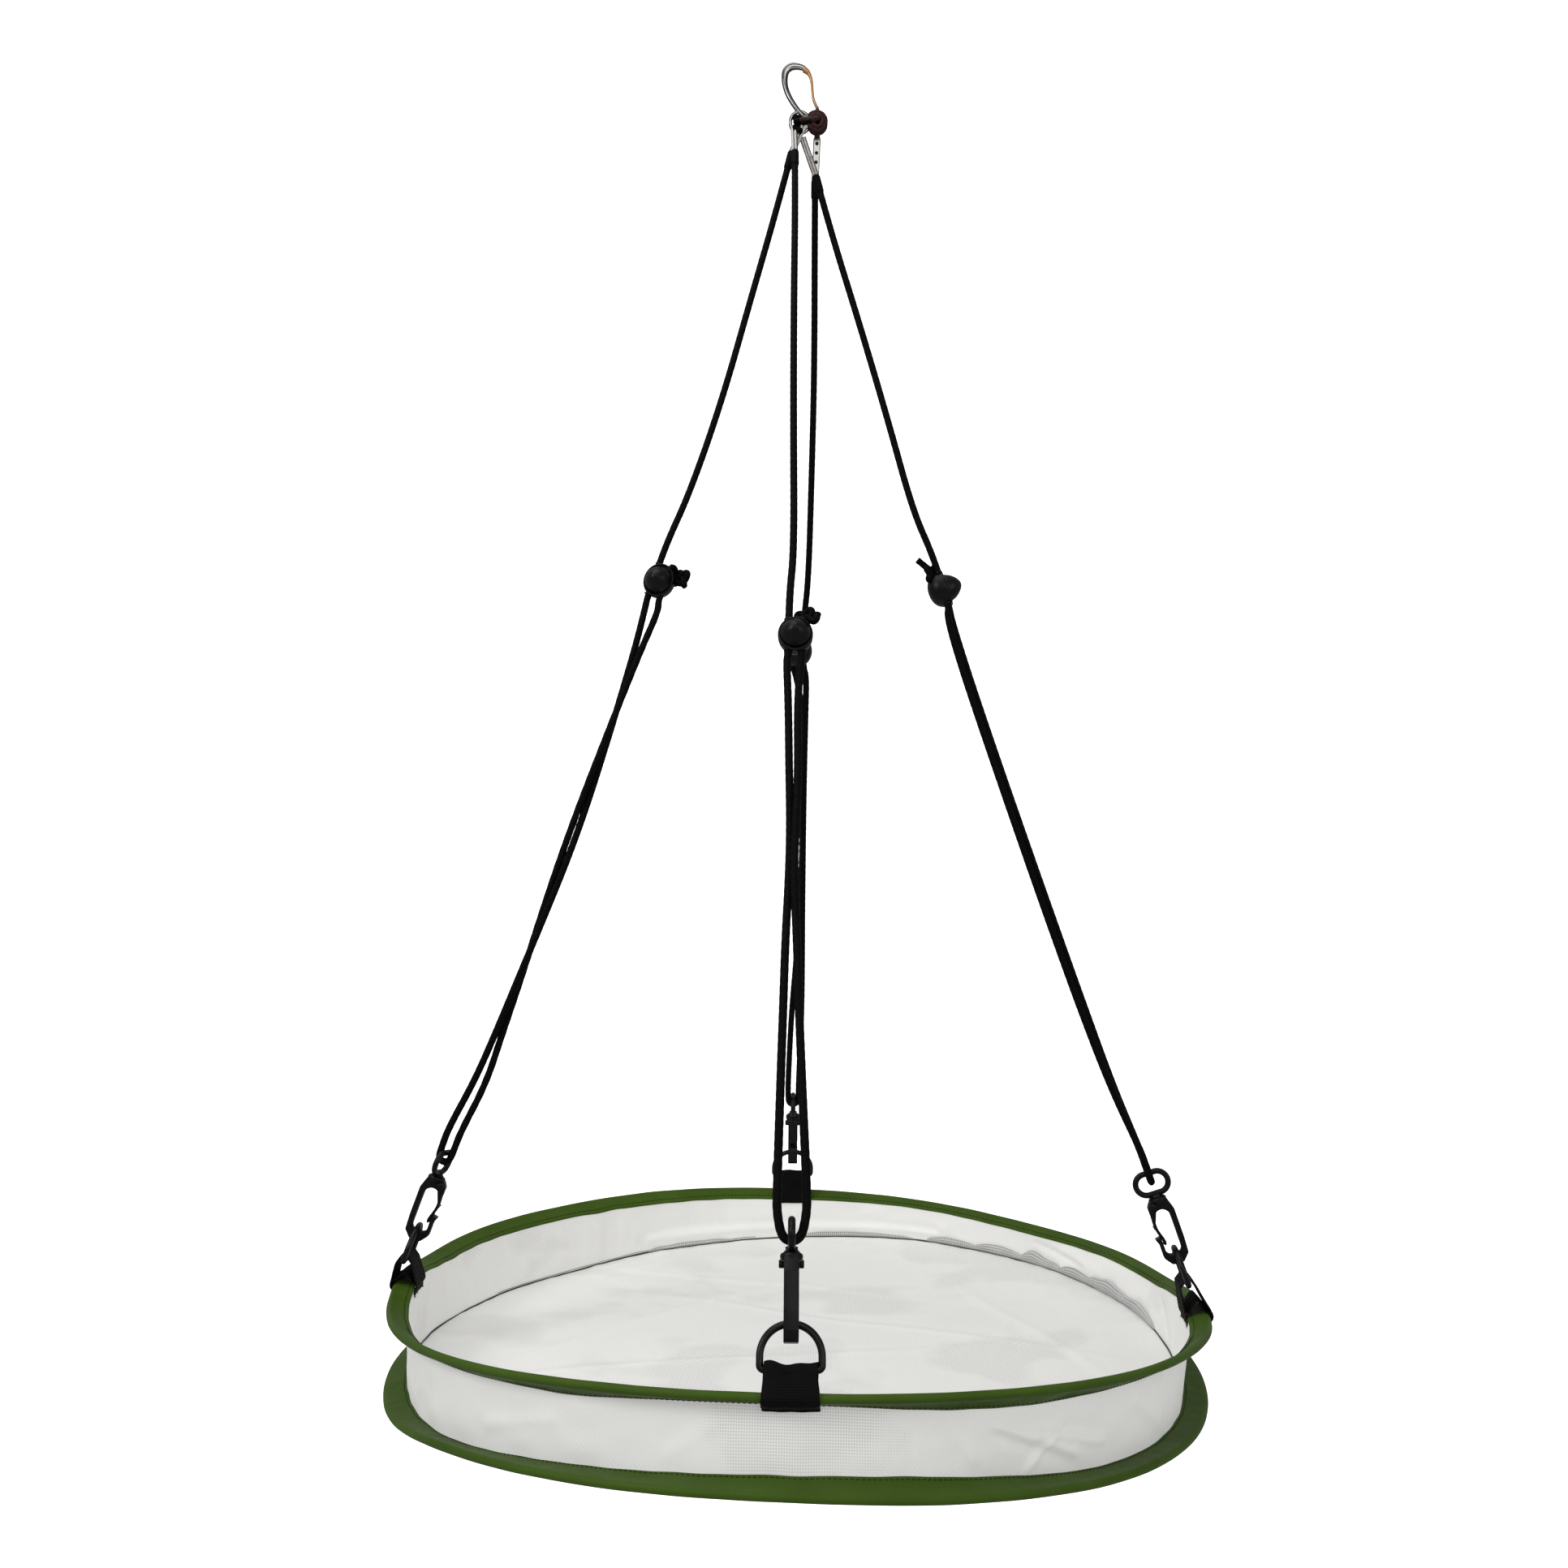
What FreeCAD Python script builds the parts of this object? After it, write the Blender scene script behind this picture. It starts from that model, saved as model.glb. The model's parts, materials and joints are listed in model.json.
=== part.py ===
import FreeCAD, Part
import math
import os
from FreeCAD import Placement, Rotation, Vector

# Hanging seed tray: two spring hoops in fabric sleeves, a net wall and floor,
# four sewn webbing tabs with rings, four snap hooks on adjustable cord legs,
# and one steel carabiner that carries the legs.
# Millimetres. The origin is the inside top of the carabiner's bow, where the
# tray hangs. +Z is up, -Y is the front and +X is the right-hand side.

doc = FreeCAD.newDocument("HangingSeedTray")
sheet = doc.addObject("Spreadsheet::Sheet", "Sizes")

sizes = {
    # tray
    "hoop_half_width": 294.5,
    "hoop_half_depth": 313.5,
    "hoop_drop": 942.0,
    "hoop_spacing": 54.0,
    "hoop_wire": 3.6,
    "sleeve_cloth": 0.7,
    "sleeve_clearance": 0.15,
    "upper_sleeve_width": 15.7,
    "lower_sleeve_width": 18.0,
    "upper_sleeve_slope": 21.0,
    "lower_sleeve_slope": 35.0,
    "net_thickness": 1.0,
    "sewn_gap": 0.3,
    # webbing tabs and rings
    "webbing_width": 30.0,
    "webbing_thickness": 1.6,
    "webbing_clearance": 0.3,
    "webbing_ease": 0.8,
    "ring_wire": 4.2,
    "ring_width": 34.6,
    "ring_length": 24.0,
    "ring_corner": 2.4,
    # snap hooks, measured along the leg from the middle of the ring's bar
    "hook_thickness": 8.6,
    "hook_opening_width": 11.6,
    "hook_opening_length": 33.0,
    "hook_opening_corner": 4.0,
    "hook_opening_offset": 0.8,
    "hook_ring_gap": 1.5,
    "hook_spine": 4.2,
    "hook_nose": 2.8,
    "hook_nose_length": 13.8,
    "hook_heel": 6.5,
    "hook_heel_corner": 5.0,
    "hook_shoulder": 7.0,
    "hook_barb": 1.3,
    "hook_mouth_drop": 4.0,
    "hook_mouth_relief": 0.6,
    "collar_radius": 5.0,
    "collar_height": 1.6,
    "tongue_thickness": 1.3,
    "tongue_width": 5.4,
    "tongue_clearance": 0.3,
    "tongue_pin": 1.5,
    "tongue_root": 2.5,
    "tongue_pivot_in": 1.5,
    "tongue_proud": 0.8,
    "tongue_bend": 5.0,
    "tongue_overlap": 7.4,
    "tongue_pin_length": 14.5,
    "stem_radius": 2.0,
    "stem_clearance": 0.1,
    "stem_head_radius": 3.2,
    "stem_head_height": 1.5,
    "eye_bar": 4.3,
    "eye_width": 28.0,
    "eye_height": 19.5,
    "eye_gap": 0.5,
    # cords and cord locks
    "cord": 4.0,
    "cord_gap": 0.35,
    "cord_hole_clearance": 0.35,
    "strand_gap": 0.5,
    "strand_entry": 4.0,
    "lock_height": 27.0,
    "lock_width": 24.0,
    "button_radius": 9.0,
    "button_clearance": 0.3,
    "button_travel": 2.5,
    "button_proud": 2.5,
    "lock_back_wall": 6.1,
    "spring_wire": 1.0,
    "spring_radius": 5.4,
    "knot_length": 13.0,
    "knot_width": 9.5,
    "tail_length": 13.0,
    "tail_lean": 38.0,
    # steel links at the top of the legs
    "link_width": 3.0,
    "link_thickness": 1.4,
    "link_pitch": 3.5,
    "link_wrap": 1.3,
    "link_clearance": 0.3,
    "link_hole": 1.2,
    "link_hole_pitch": 7.0,
    # carabiner
    "carabiner_wire": 5.0,
    "carabiner_width": 31.0,
    "carabiner_length": 56.5,
    "carabiner_corner": 7.0,
    "gate_gap": 0.4,
    "gate_pin": 1.0,
    "gate_pin_clearance": 0.1,
    "gate_pin_drop": 2.0,
    "gate_tang": 2.0,
    "gate_hinge_height": 17.0,
    # cord bound round the link tops
    "binding_cord": 5.0,
    "binding_drop": 6.5,
    "binding_half_width": 13.0,
    "binding_half_depth": 8.5,
    "binding_knot": 12.0,
}

# One leg each: bearing of its tab, how far out and how high over the hoop its
# ring bar sits, the lean of the upper cord, how far down the leg the link and
# the lock reach, the turn of the lock and eye about the leg, and the leg's
# place along the carabiner's bar.
legs = {
    "front": {"bearing": -90.0, "ring_out": 300.5, "ring_up": 19.5, "lean": 17.0,
              "link_length": 20.0, "lock_down": 453.0, "turn": 0.0, "slot": -0.5},
    "left": {"bearing": 183.0, "ring_out": 284.0, "ring_up": 15.0, "lean": 15.4,
             "link_length": 20.0, "lock_down": 382.0, "turn": 75.0, "slot": -1.5},
    "right": {"bearing": -6.7, "ring_out": 287.0, "ring_up": 8.0, "lean": 16.0,
              "link_length": 36.0, "lock_down": 390.0, "turn": 0.0, "slot": 1.5},
    "back": {"bearing": 90.0, "ring_out": 298.0, "ring_up": 25.0, "lean": 16.6,
             "link_length": 39.0, "lock_down": 418.0, "turn": 0.0, "slot": 0.5},
}

for row, (alias, value) in enumerate(sizes.items(), start=1):
    cell = "B" + str(row)
    sheet.set("A" + str(row), alias.replace("_", " "))
    sheet.set(cell, str(value))
    sheet.setAlias(cell, alias)
for legRow, (side, values) in enumerate(legs.items(), start=len(sizes) + 2):
    for column, (word, value) in zip("BCDEFGHI", values.items()):
        sheet.set(column + str(legRow), str(value))
        sheet.setAlias(column + str(legRow), side + "_" + word)
doc.recompute()

# Share of an opening's width that its rounded top may take as a fillet.
nearlyHalf = 0.49

nodes = {}
volumeChecks = []


def size(alias):
    return float(getattr(sheet, alias))


def bind(item, **rules):
    """Bind properties to sheet cells; base_x, base_y and base_z move the item."""
    for word, rule in rules.items():
        path = "Placement.Base." + word[-1] if word.startswith("base_") else word
        item.setExpression(path, rule)
    return item


def cylinder(label, radius, length, axis="z", **place):
    item = doc.addObject("Part::Cylinder", label)
    turns = {"x": Rotation(Vector(0, 1, 0), 90), "y": Rotation(Vector(1, 0, 0), -90), "z": Rotation()}
    item.Placement = Placement(Vector(), turns[axis])
    return bind(item, Radius=radius, Height=length, **place)


def torus(label, ring, tube, start, sweep, turn, **place):
    """Part of a torus whose axis is turned; start and sweep are degrees about it."""
    item = doc.addObject("Part::Torus", label)
    item.Angle3 = sweep
    item.Placement = Placement(Vector(), turn.multiply(Rotation(Vector(0, 0, 1), start)))
    return bind(item, Radius1=ring, Radius2=tube, **place)


def fuse(label, items):
    item = doc.addObject("Part::MultiFuse", label)
    item.Shapes = items
    item.Refine = True
    return item


def cut(label, base, tool):
    item = doc.addObject("Part::Cut", label)
    item.Base = base
    item.Tool = tool
    return item


def made(label, shape):
    item = doc.addObject("Part::Feature", label)
    item.Shape = shape
    return item


def keep(name, item, placement=None):
    """Give the finished sub-part its node name and its place."""
    item.Label = name
    if placement is not None:
        item.Placement = placement
    nodes[name] = item
    return item


def roundEdges(label, base, axis, groups):
    """Fillet the edges of a block that run along one axis; groups maps a test to a radius."""
    doc.recompute()
    item = doc.addObject("Part::Fillet", label)
    item.Base = base
    chosen = []
    for number, edge in enumerate(base.Shape.Edges, start=1):
        direction = edge.tangentAt(edge.FirstParameter)
        if abs(direction.dot(axis)) < 0.99:
            continue
        for test, radius in groups:
            if test(edge.CenterOfMass):
                chosen.append((number, radius, radius))
    item.Edges = chosen
    return item


def hullFace(discs):
    """Face of the hull of discs (centre, radius) in the XZ plane, given anticlockwise."""
    edges = []
    count = len(discs)
    tangents = []
    for index in range(count):
        centre, radius = discs[index]
        other, otherRadius = discs[(index + 1) % count]
        along = other - centre
        distance = along.Length
        heading = math.atan2(along.z, along.x)
        swing = heading - math.acos((radius - otherRadius) / distance)
        normal = Vector(math.cos(swing), 0, math.sin(swing))
        tangents.append((centre + normal * radius, other + normal * otherRadius, swing))
    for index in range(count):
        start, end, swing = tangents[index]
        centre, radius = discs[(index + 1) % count]
        nextStart, _, nextSwing = tangents[(index + 1) % count]
        edges.append(Part.LineSegment(start, end).toShape())
        turn = (nextSwing - swing) % (2 * math.pi)
        middle = swing + turn / 2
        onArc = centre + Vector(math.cos(middle), 0, math.sin(middle)) * radius
        edges.append(Part.Arc(end, onArc, nextStart).toShape())
    return Part.Face(Part.Wire(edges))


def tubeAlong(edges, diameter):
    """Round tube along one open wire of straight runs and tangent arcs."""
    path = Part.Wire(edges)
    first = edges[0]
    begin = first.FirstParameter
    section = Part.Circle(first.valueAt(begin), first.tangentAt(begin), diameter / 2)
    return path.makePipeShell([Part.Wire(section.toShape())], True, False)


# Tray. The hoops are ovals: the legs pull the spring wire longer front to back.

hoopZ = -size("hoop_drop")
lowerHoopZ = hoopZ - size("hoop_spacing")
sleeveRadius = size("hoop_wire") / 2 + size("sleeve_clearance") + size("sleeve_cloth")
lipRadius = size("net_thickness") / 2 + size("sleeve_cloth")


def ovalEdge(inset, level):
    """Oval inside the hoops' outer edge, from its +Y end round; either half may be the longer one."""
    width = size("hoop_half_width") - inset
    depth = size("hoop_half_depth") - inset
    if depth >= width:
        oval = Part.Ellipse(Vector(0, depth, level), Vector(-width, 0, level), Vector(0, 0, level))
        return oval.toShape()
    oval = Part.Ellipse(Vector(width, 0, level), Vector(0, depth, level), Vector(0, 0, level))
    return oval.toShape(math.pi / 2, math.pi * 5 / 2)


def hoopWire(name, level):
    spine = made(name + "_spine", ovalEdge(sleeveRadius, level))
    section = doc.addObject("Part::Circle", name + "_section")
    section.Placement = Placement(Vector(0, 0, level), Rotation(Vector(0, 1, 0), 90))
    bind(section, Radius="Sizes.hoop_wire / 2",
         base_y="Sizes.hoop_half_depth - Sizes.hoop_wire / 2 - Sizes.sleeve_clearance - Sizes.sleeve_cloth")
    sweep = doc.addObject("Part::Sweep", name + "_sweep")
    sweep.Sections = [section]
    sweep.Spine = (spine, ["Edge1"])
    sweep.Solid = True
    return keep(name, sweep)


def sleeveDiscs(width, slope, level, wireRadius, edgeRadius, reach):
    """Section of a sleeve at the +Y end of the oval: a disc at the wire and one at the sewn edge."""
    span = width - sleeveRadius - lipRadius + reach
    outer = Vector(size("hoop_half_depth") - sleeveRadius, 0, level)
    inner = outer + Vector(-math.cos(slope) * span, 0, math.sin(slope) * span)
    return [(outer, wireRadius), (inner, edgeRadius)]


def sleeve(name, level, width, slope):
    outside = hullFace(sleeveDiscs(width, slope, level, sleeveRadius, lipRadius, 0))
    channel = size("hoop_wire") / 2 + size("sleeve_clearance")
    inside = hullFace(sleeveDiscs(width, slope, level, channel, size("net_thickness") / 2, 2 * lipRadius))
    profile = outside.cut(inside).Faces[0].OuterWire
    profile.rotate(Vector(), Vector(0, 0, 1), 90)
    path = Part.Wire(ovalEdge(sleeveRadius, level))
    return keep(name, made(name, path.makePipeShell([profile], True, False)))


def lipPoint(width, slope, level):
    """Middle of a sleeve's sewn edge: how far in from the hoop's outer edge, and its height."""
    span = width - sleeveRadius - lipRadius
    return sleeveRadius + math.cos(slope) * span, level + math.sin(slope) * span


upperSlope = -math.radians(size("upper_sleeve_slope"))
lowerSlope = math.radians(size("lower_sleeve_slope"))
upperLip = lipPoint(size("upper_sleeve_width"), upperSlope, hoopZ)
lowerLip = lipPoint(size("lower_sleeve_width"), lowerSlope, lowerHoopZ)

hoopWire("upper_hoop_wire", hoopZ)
hoopWire("lower_hoop_wire", lowerHoopZ)
sleeve("upper_binding", hoopZ, size("upper_sleeve_width"), upperSlope)
sleeve("lower_binding", lowerHoopZ, size("lower_sleeve_width"), lowerSlope)


def ovalDisc(label, inset, bottom, height):
    disc = doc.addObject("Part::Extrusion", label)
    disc.Base = made(label + "_rim", ovalEdge(inset, bottom))
    disc.DirMode = "Custom"
    disc.Dir = Vector(0, 0, 1)
    disc.LengthFwd = height
    disc.Solid = True
    return disc


wallInset = upperLip[0] - size("net_thickness") / 2
wallTop = upperLip[1] - lipRadius
wallBottom = lowerLip[1] + lipRadius + size("sewn_gap")
floorInset = wallInset + size("net_thickness") + size("sewn_gap")
floorBottom = lowerLip[1] + lipRadius
wallHeight = wallTop - wallBottom
wallOutside = ovalDisc("wall_outside", wallInset, wallBottom, wallHeight)
wallInside = ovalDisc("wall_inside", wallInset + size("net_thickness"), wallBottom, wallHeight)
keep("mesh_wall", cut("mesh_wall", wallOutside, wallInside))
keep("mesh_floor", ovalDisc("mesh_floor", floorInset, floorBottom, size("net_thickness")))


# Leg frames: each leg hangs in the upright plane through its place on the
# carabiner's bar and its ring bar.

carabinerBarZ = -(size("carabiner_length") - 1.5 * size("carabiner_wire"))


def legFrame(side):
    bearing = math.radians(size(side + "_bearing"))
    ringBar = Vector(math.cos(bearing), math.sin(bearing), 0) * size(side + "_ring_out")
    ringBar.z = hoopZ + size(side + "_ring_up")
    top = Vector(size(side + "_slot") * size("link_pitch"), 0, carabinerBarZ)
    outward = Vector(ringBar.x - top.x, ringBar.y - top.y, 0).normalize()
    sideways = Vector(0, 0, 1).cross(outward)
    lean = math.radians(size(side + "_lean"))
    upperDown = outward * math.sin(lean) - Vector(0, 0, math.cos(lean))
    lock = top + upperDown * size(side + "_lock_down")
    lowerUp = (lock - ringBar).normalize()
    lowerOut = sideways.cross(lowerUp)
    return {"top": top, "lock": lock, "ring": ringBar, "sideways": sideways,
            "upperDown": upperDown, "lowerUp": lowerUp, "lowerOut": lowerOut}


def framePlacement(origin, out, sideways, up, turn=0.0):
    matrix = FreeCAD.Matrix(out.x, sideways.x, up.x, origin.x,
                            out.y, sideways.y, up.y, origin.y,
                            out.z, sideways.z, up.z, origin.z)
    placement = Placement(matrix)
    return placement.multiply(Placement(Vector(), Rotation(Vector(0, 0, 1), turn)))


frames = {side: legFrame(side) for side in legs}


def alongLeg(side, turn=0.0):
    """Place of a fitting on the lower leg: its origin is the middle of the ring's bar."""
    frame = frames[side]
    return framePlacement(frame["ring"], frame["lowerOut"], frame["sideways"], frame["lowerUp"], turn)


def webbingTab(side):
    """Webbing folded round the upper sleeve and the ring's bar, its two ends sewn at the wall."""
    frame = frames[side]
    bearing = math.radians(size(side + "_bearing"))
    halfDepth = size("hoop_half_depth")
    halfWidth = size("hoop_half_width")
    reach = halfDepth * halfWidth / math.hypot(halfDepth * math.cos(bearing), halfWidth * math.sin(bearing))
    rim = Vector(math.cos(bearing), math.sin(bearing), 0) * reach
    outward = Vector(rim.x / halfWidth ** 2, rim.y / halfDepth ** 2, 0).normalize()
    edge = (rim - frame["ring"]).dot(outward)
    level = hoopZ - frame["ring"].z
    crease = Vector(edge - sleeveRadius, 0, level)
    lip = Vector(edge - upperLip[0], 0, upperLip[1] - frame["ring"].z)
    ease = size("webbing_ease")
    discs = [(lip, lipRadius + ease), (crease, sleeveRadius + ease),
             (Vector(), size("ring_wire") / 2 + size("webbing_clearance"))]
    thickness = size("webbing_thickness")
    inside = hullFace(discs)
    outside = hullFace([(centre, radius + thickness) for centre, radius in discs])
    seamHalf = size("net_thickness") / 2 + ease
    seamDepth = lipRadius + ease + 2 * thickness
    width = size("webbing_width")
    strap = outside.cut(inside).extrude(Vector(0, width, 0))
    strap.translate(Vector(0, -width / 2, 0))
    corner = Vector(lip.x - seamHalf, -width / 2, lip.z - seamDepth)
    seam = Part.makeBox(2 * seamHalf, width, seamDepth, corner)
    strap = strap.cut(seam)
    name = "webbing_tab_" + side
    up = Vector(0, 0, 1)
    return keep(name, made(name, strap), framePlacement(frame["ring"], outward, up.cross(outward), up))


def ring(side):
    """D-shaped ring: bar along Y at the origin, bow up the leg."""
    name = "d_ring_" + side
    wire = "Sizes.ring_wire / 2"
    half = "Sizes.ring_width / 2"
    bow = "Sizes.ring_length - Sizes.ring_width / 2"
    upright = Rotation(Vector(0, 1, 0), 90)
    corner = half + " - Sizes.ring_corner"
    sideLength = bow + " - Sizes.ring_corner"
    pieces = [
        torus(name + "_bow", half, wire, 90, 180, upright, base_z=bow),
        cylinder(name + "_bar", wire, "Sizes.ring_width - 2 * Sizes.ring_corner", axis="y",
                 base_y="-(" + corner + ")"),
        cylinder(name + "_side_a", wire, sideLength, base_y=half, base_z="Sizes.ring_corner"),
        cylinder(name + "_side_b", wire, sideLength, base_y="-(" + half + ")", base_z="Sizes.ring_corner"),
        torus(name + "_corner_a", "Sizes.ring_corner", wire, 0, 90, upright,
              base_y=corner, base_z="Sizes.ring_corner"),
        torus(name + "_corner_b", "Sizes.ring_corner", wire, 270, 90, upright,
              base_y="-(" + corner + ")", base_z="Sizes.ring_corner"),
    ]
    return keep(name, fuse(name, pieces), alongLeg(side))


# Heights along the lower leg, from the middle of the ring's bar.
openingBottom = size("ring_length") - size("ring_wire") / 2 - size("hook_ring_gap")
openingTop = openingBottom + size("hook_opening_length")
hookTop = openingTop + size("hook_shoulder")
collarTop = hookTop + size("collar_height")
eyeCentre = collarTop + size("eye_gap") + size("eye_height") / 2
eyeBarTop = eyeCentre + size("eye_height") / 2 - size("eye_bar") / 2
openingIn = -(size("hook_opening_width") / 2 + size("hook_opening_offset"))
openingOut = size("hook_opening_width") / 2 - size("hook_opening_offset")
noseTop = openingBottom + size("hook_nose_length")
mouthTop = openingTop - size("hook_mouth_drop")
tonguePivotX = openingIn + size("tongue_pivot_in")
tonguePivotZ = openingTop + size("hook_shoulder") / 2


def plainBox(label, low, high):
    item = doc.addObject("Part::Box", label)
    item.Length = high[0] - low[0]
    item.Width = high[1] - low[1]
    item.Height = high[2] - low[2]
    item.Placement.Base = Vector(low[0], low[1], low[2])
    return item


def snapHook(side):
    """Moulded hook: spine outward, nose and tongue inward, swivel collar on top."""
    name = "snap_hook_" + side
    half = size("hook_thickness") / 2
    noseFace = openingIn - size("hook_nose")
    spineFace = openingOut + size("hook_spine")
    heelZ = openingBottom - size("hook_heel")
    block = plainBox(name + "_block", (noseFace, -half, heelZ), (spineFace, half, hookTop))
    block = roundEdges(name + "_rounded", block, Vector(0, 1, 0), [
        (lambda p: p.z < heelZ + 1, size("hook_heel_corner")),
        (lambda p: p.z > hookTop - 1, size("hook_shoulder") / 2)])
    opening = plainBox(name + "_opening", (openingIn, -2 * half, openingBottom),
                       (openingOut, 2 * half, openingTop))
    opening = roundEdges(name + "_slot", opening, Vector(0, 1, 0), [
        (lambda p: p.z < openingBottom + 1, size("hook_opening_corner")),
        (lambda p: p.z > openingTop - 1, nearlyHalf * size("hook_opening_width"))])
    mouth = plainBox(name + "_mouth", (noseFace - 1, -2 * half, noseTop),
                     (openingIn + size("hook_mouth_relief"), 2 * half, mouthTop))
    slotHalf = size("tongue_width") / 2 + size("tongue_clearance")
    rootReach = size("tongue_root") + size("tongue_clearance")
    rootSlot = plainBox(name + "_root_slot", (noseFace - 1, -slotHalf, mouthTop - 1),
                        (tonguePivotX + rootReach, slotHalf, tonguePivotZ + rootReach))
    pinHole = cylinder(name + "_pin_hole", "Sizes.tongue_pin + Sizes.stem_clearance",
                       "Sizes.hook_thickness * 2", axis="y", base_y="-Sizes.hook_thickness")
    pinHole.Placement.Base = Vector(tonguePivotX, -2 * half, tonguePivotZ)
    collar = cylinder(name + "_collar", "Sizes.collar_radius",
                      "Sizes.collar_height + Sizes.hook_shoulder / 2")
    collar.Placement.Base = Vector(0, 0, hookTop - size("hook_shoulder") / 2)
    barb = cylinder(name + "_barb", "Sizes.hook_barb", "Sizes.hook_thickness", axis="y",
                    base_y="-Sizes.hook_thickness / 2")
    barb.Placement.Base = Vector(noseFace + size("hook_barb"), -half, noseTop)
    bore = cylinder(name + "_bore", "Sizes.stem_radius + Sizes.stem_clearance", "Sizes.hook_opening_length")
    bore.Placement.Base = Vector(0, 0, openingTop - size("hook_opening_width") / 2)
    body = fuse(name + "_body", [cut(name + "_frame", block, opening), collar])
    body = cut(name + "_open", body, fuse(name + "_cuts", [mouth, rootSlot, pinHole, bore]))
    return keep(name, fuse(name, [body, barb]), alongLeg(side))


def hookTongue(side):
    """Thin spring tongue on a pin through the shoulder; its tip closes inside the nose."""
    name = "hook_tongue_" + side
    width = size("tongue_width")
    thickness = size("tongue_thickness")
    face = openingIn - size("tongue_proud")
    root = size("tongue_root")
    along = Vector(0, 1, 0)
    line = [
        Vector(tonguePivotX - root + thickness / 2, 0, tonguePivotZ),
        Vector(face, 0, mouthTop - 1),
        Vector(face, 0, noseTop + size("tongue_bend")),
        Vector(openingIn + size("tongue_clearance") + thickness / 2, 0, noseTop),
        Vector(openingIn + size("tongue_clearance") + thickness, 0, noseTop - size("tongue_overlap")),
    ]
    shape = Part.makeCylinder(root, width, Vector(tonguePivotX, -width / 2, tonguePivotZ), along)
    for start, end in zip(line, line[1:]):
        leaf = hullFace([(start, thickness / 2), (end, thickness / 2)]).extrude(Vector(0, width, 0))
        leaf.translate(Vector(0, -width / 2, 0))
        shape = shape.fuse(leaf)
    pinLength = size("tongue_pin_length")
    headLength = (pinLength - size("hook_thickness")) / 2 - size("tongue_clearance")
    start = Vector(tonguePivotX, -pinLength / 2, tonguePivotZ)
    farHead = start + along * (pinLength - headLength)
    shape = shape.fuse(Part.makeCylinder(size("tongue_pin"), pinLength, start, along))
    shape = shape.fuse(Part.makeCylinder(root, headLength, start, along))
    shape = shape.fuse(Part.makeCylinder(root, headLength, farHead, along))
    return keep(name, made(name, shape.removeSplitter()), alongLeg(side))


def swivelEye(side):
    """Oval eye with a headed stem that turns in the hook's collar."""
    name = "swivel_eye_" + side
    bar = "Sizes.eye_bar / 2"
    bend = "(Sizes.eye_height - Sizes.eye_bar) / 2"
    straight = "Sizes.eye_width - Sizes.eye_height"
    lying = Rotation(Vector(1, 0, 0), 90)
    bendRadius = (size("eye_height") - size("eye_bar")) / 2
    halfStraight = (size("eye_width") - size("eye_height")) / 2
    outBend = torus(name + "_out_bend", bend, bar, -90, 180, lying)
    outBend.Placement.Base = Vector(halfStraight, 0, eyeCentre)
    inBend = torus(name + "_in_bend", bend, bar, 90, 180, lying)
    inBend.Placement.Base = Vector(-halfStraight, 0, eyeCentre)
    topBar = cylinder(name + "_top_bar", bar, straight, axis="x")
    topBar.Placement.Base = Vector(-halfStraight, 0, eyeCentre + bendRadius)
    lowBar = cylinder(name + "_low_bar", bar, straight, axis="x")
    lowBar.Placement.Base = Vector(-halfStraight, 0, eyeCentre - bendRadius)
    topRound = size("hook_opening_width") / 2
    headEdge = size("stem_head_radius") + size("hook_opening_offset")
    headTop = openingTop - topRound + math.sqrt(topRound ** 2 - headEdge ** 2) - size("tongue_clearance")
    stem = cylinder(name + "_stem", "Sizes.stem_radius", str(eyeCentre - bendRadius - headTop))
    stem.Placement.Base = Vector(0, 0, headTop)
    head = cylinder(name + "_head", "Sizes.stem_head_radius", "Sizes.stem_head_height")
    head.Placement.Base = Vector(0, 0, headTop - size("stem_head_height"))
    pieces = [outBend, inBend, topBar, lowBar, stem, head]
    return keep(name, fuse(name, pieces), alongLeg(side, size(side + "_turn")))


# Cord legs. The two strands below a lock run side by side, as far apart as
# the cord needs to turn round the eye's bar.

strandHalf = size("eye_bar") / 2 + size("cord_gap") + size("cord") / 2
lockTop = size("lock_height") / 2
lockRound = size("lock_width") / 2
# height of the strands' mouths, where they leave the lock's round top
strandMouth = lockTop - lockRound + math.sqrt(lockRound ** 2 - strandHalf ** 2)


def lockPlacement(side):
    frame = frames[side]
    return framePlacement(frame["lock"], frame["lowerOut"], frame["sideways"], frame["lowerUp"],
                          size(side + "_turn"))


def capsule(label, length, radius, centre, axis):
    """Ball-ended body; length and radius are sheet rules and axis is its long direction."""
    turn = Rotation(Vector(0, 0, 1), axis)
    half = "(" + length + ") / 2 - (" + radius + ")"
    middle = cylinder(label + "_middle", radius, "2 * (" + half + ")", base_z="-(" + half + ")")
    ends = []
    for word, sign in (("low", "-"), ("high", "")):
        end = doc.addObject("Part::Sphere", label + "_" + word)
        ends.append(bind(end, Radius=radius, base_z=sign + "(" + half + ")"))
    item = fuse(label, [middle] + ends)
    item.Placement = Placement(centre, turn)
    return item


def lockShell(label, offset):
    """Ball-shaped body of a cord lock, moved along the button's axis."""
    centre = Vector(offset, 0, 0)
    return capsule(label, "Sizes.lock_height", "Sizes.lock_width / 2", centre, Vector(0, 0, 1))


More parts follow.
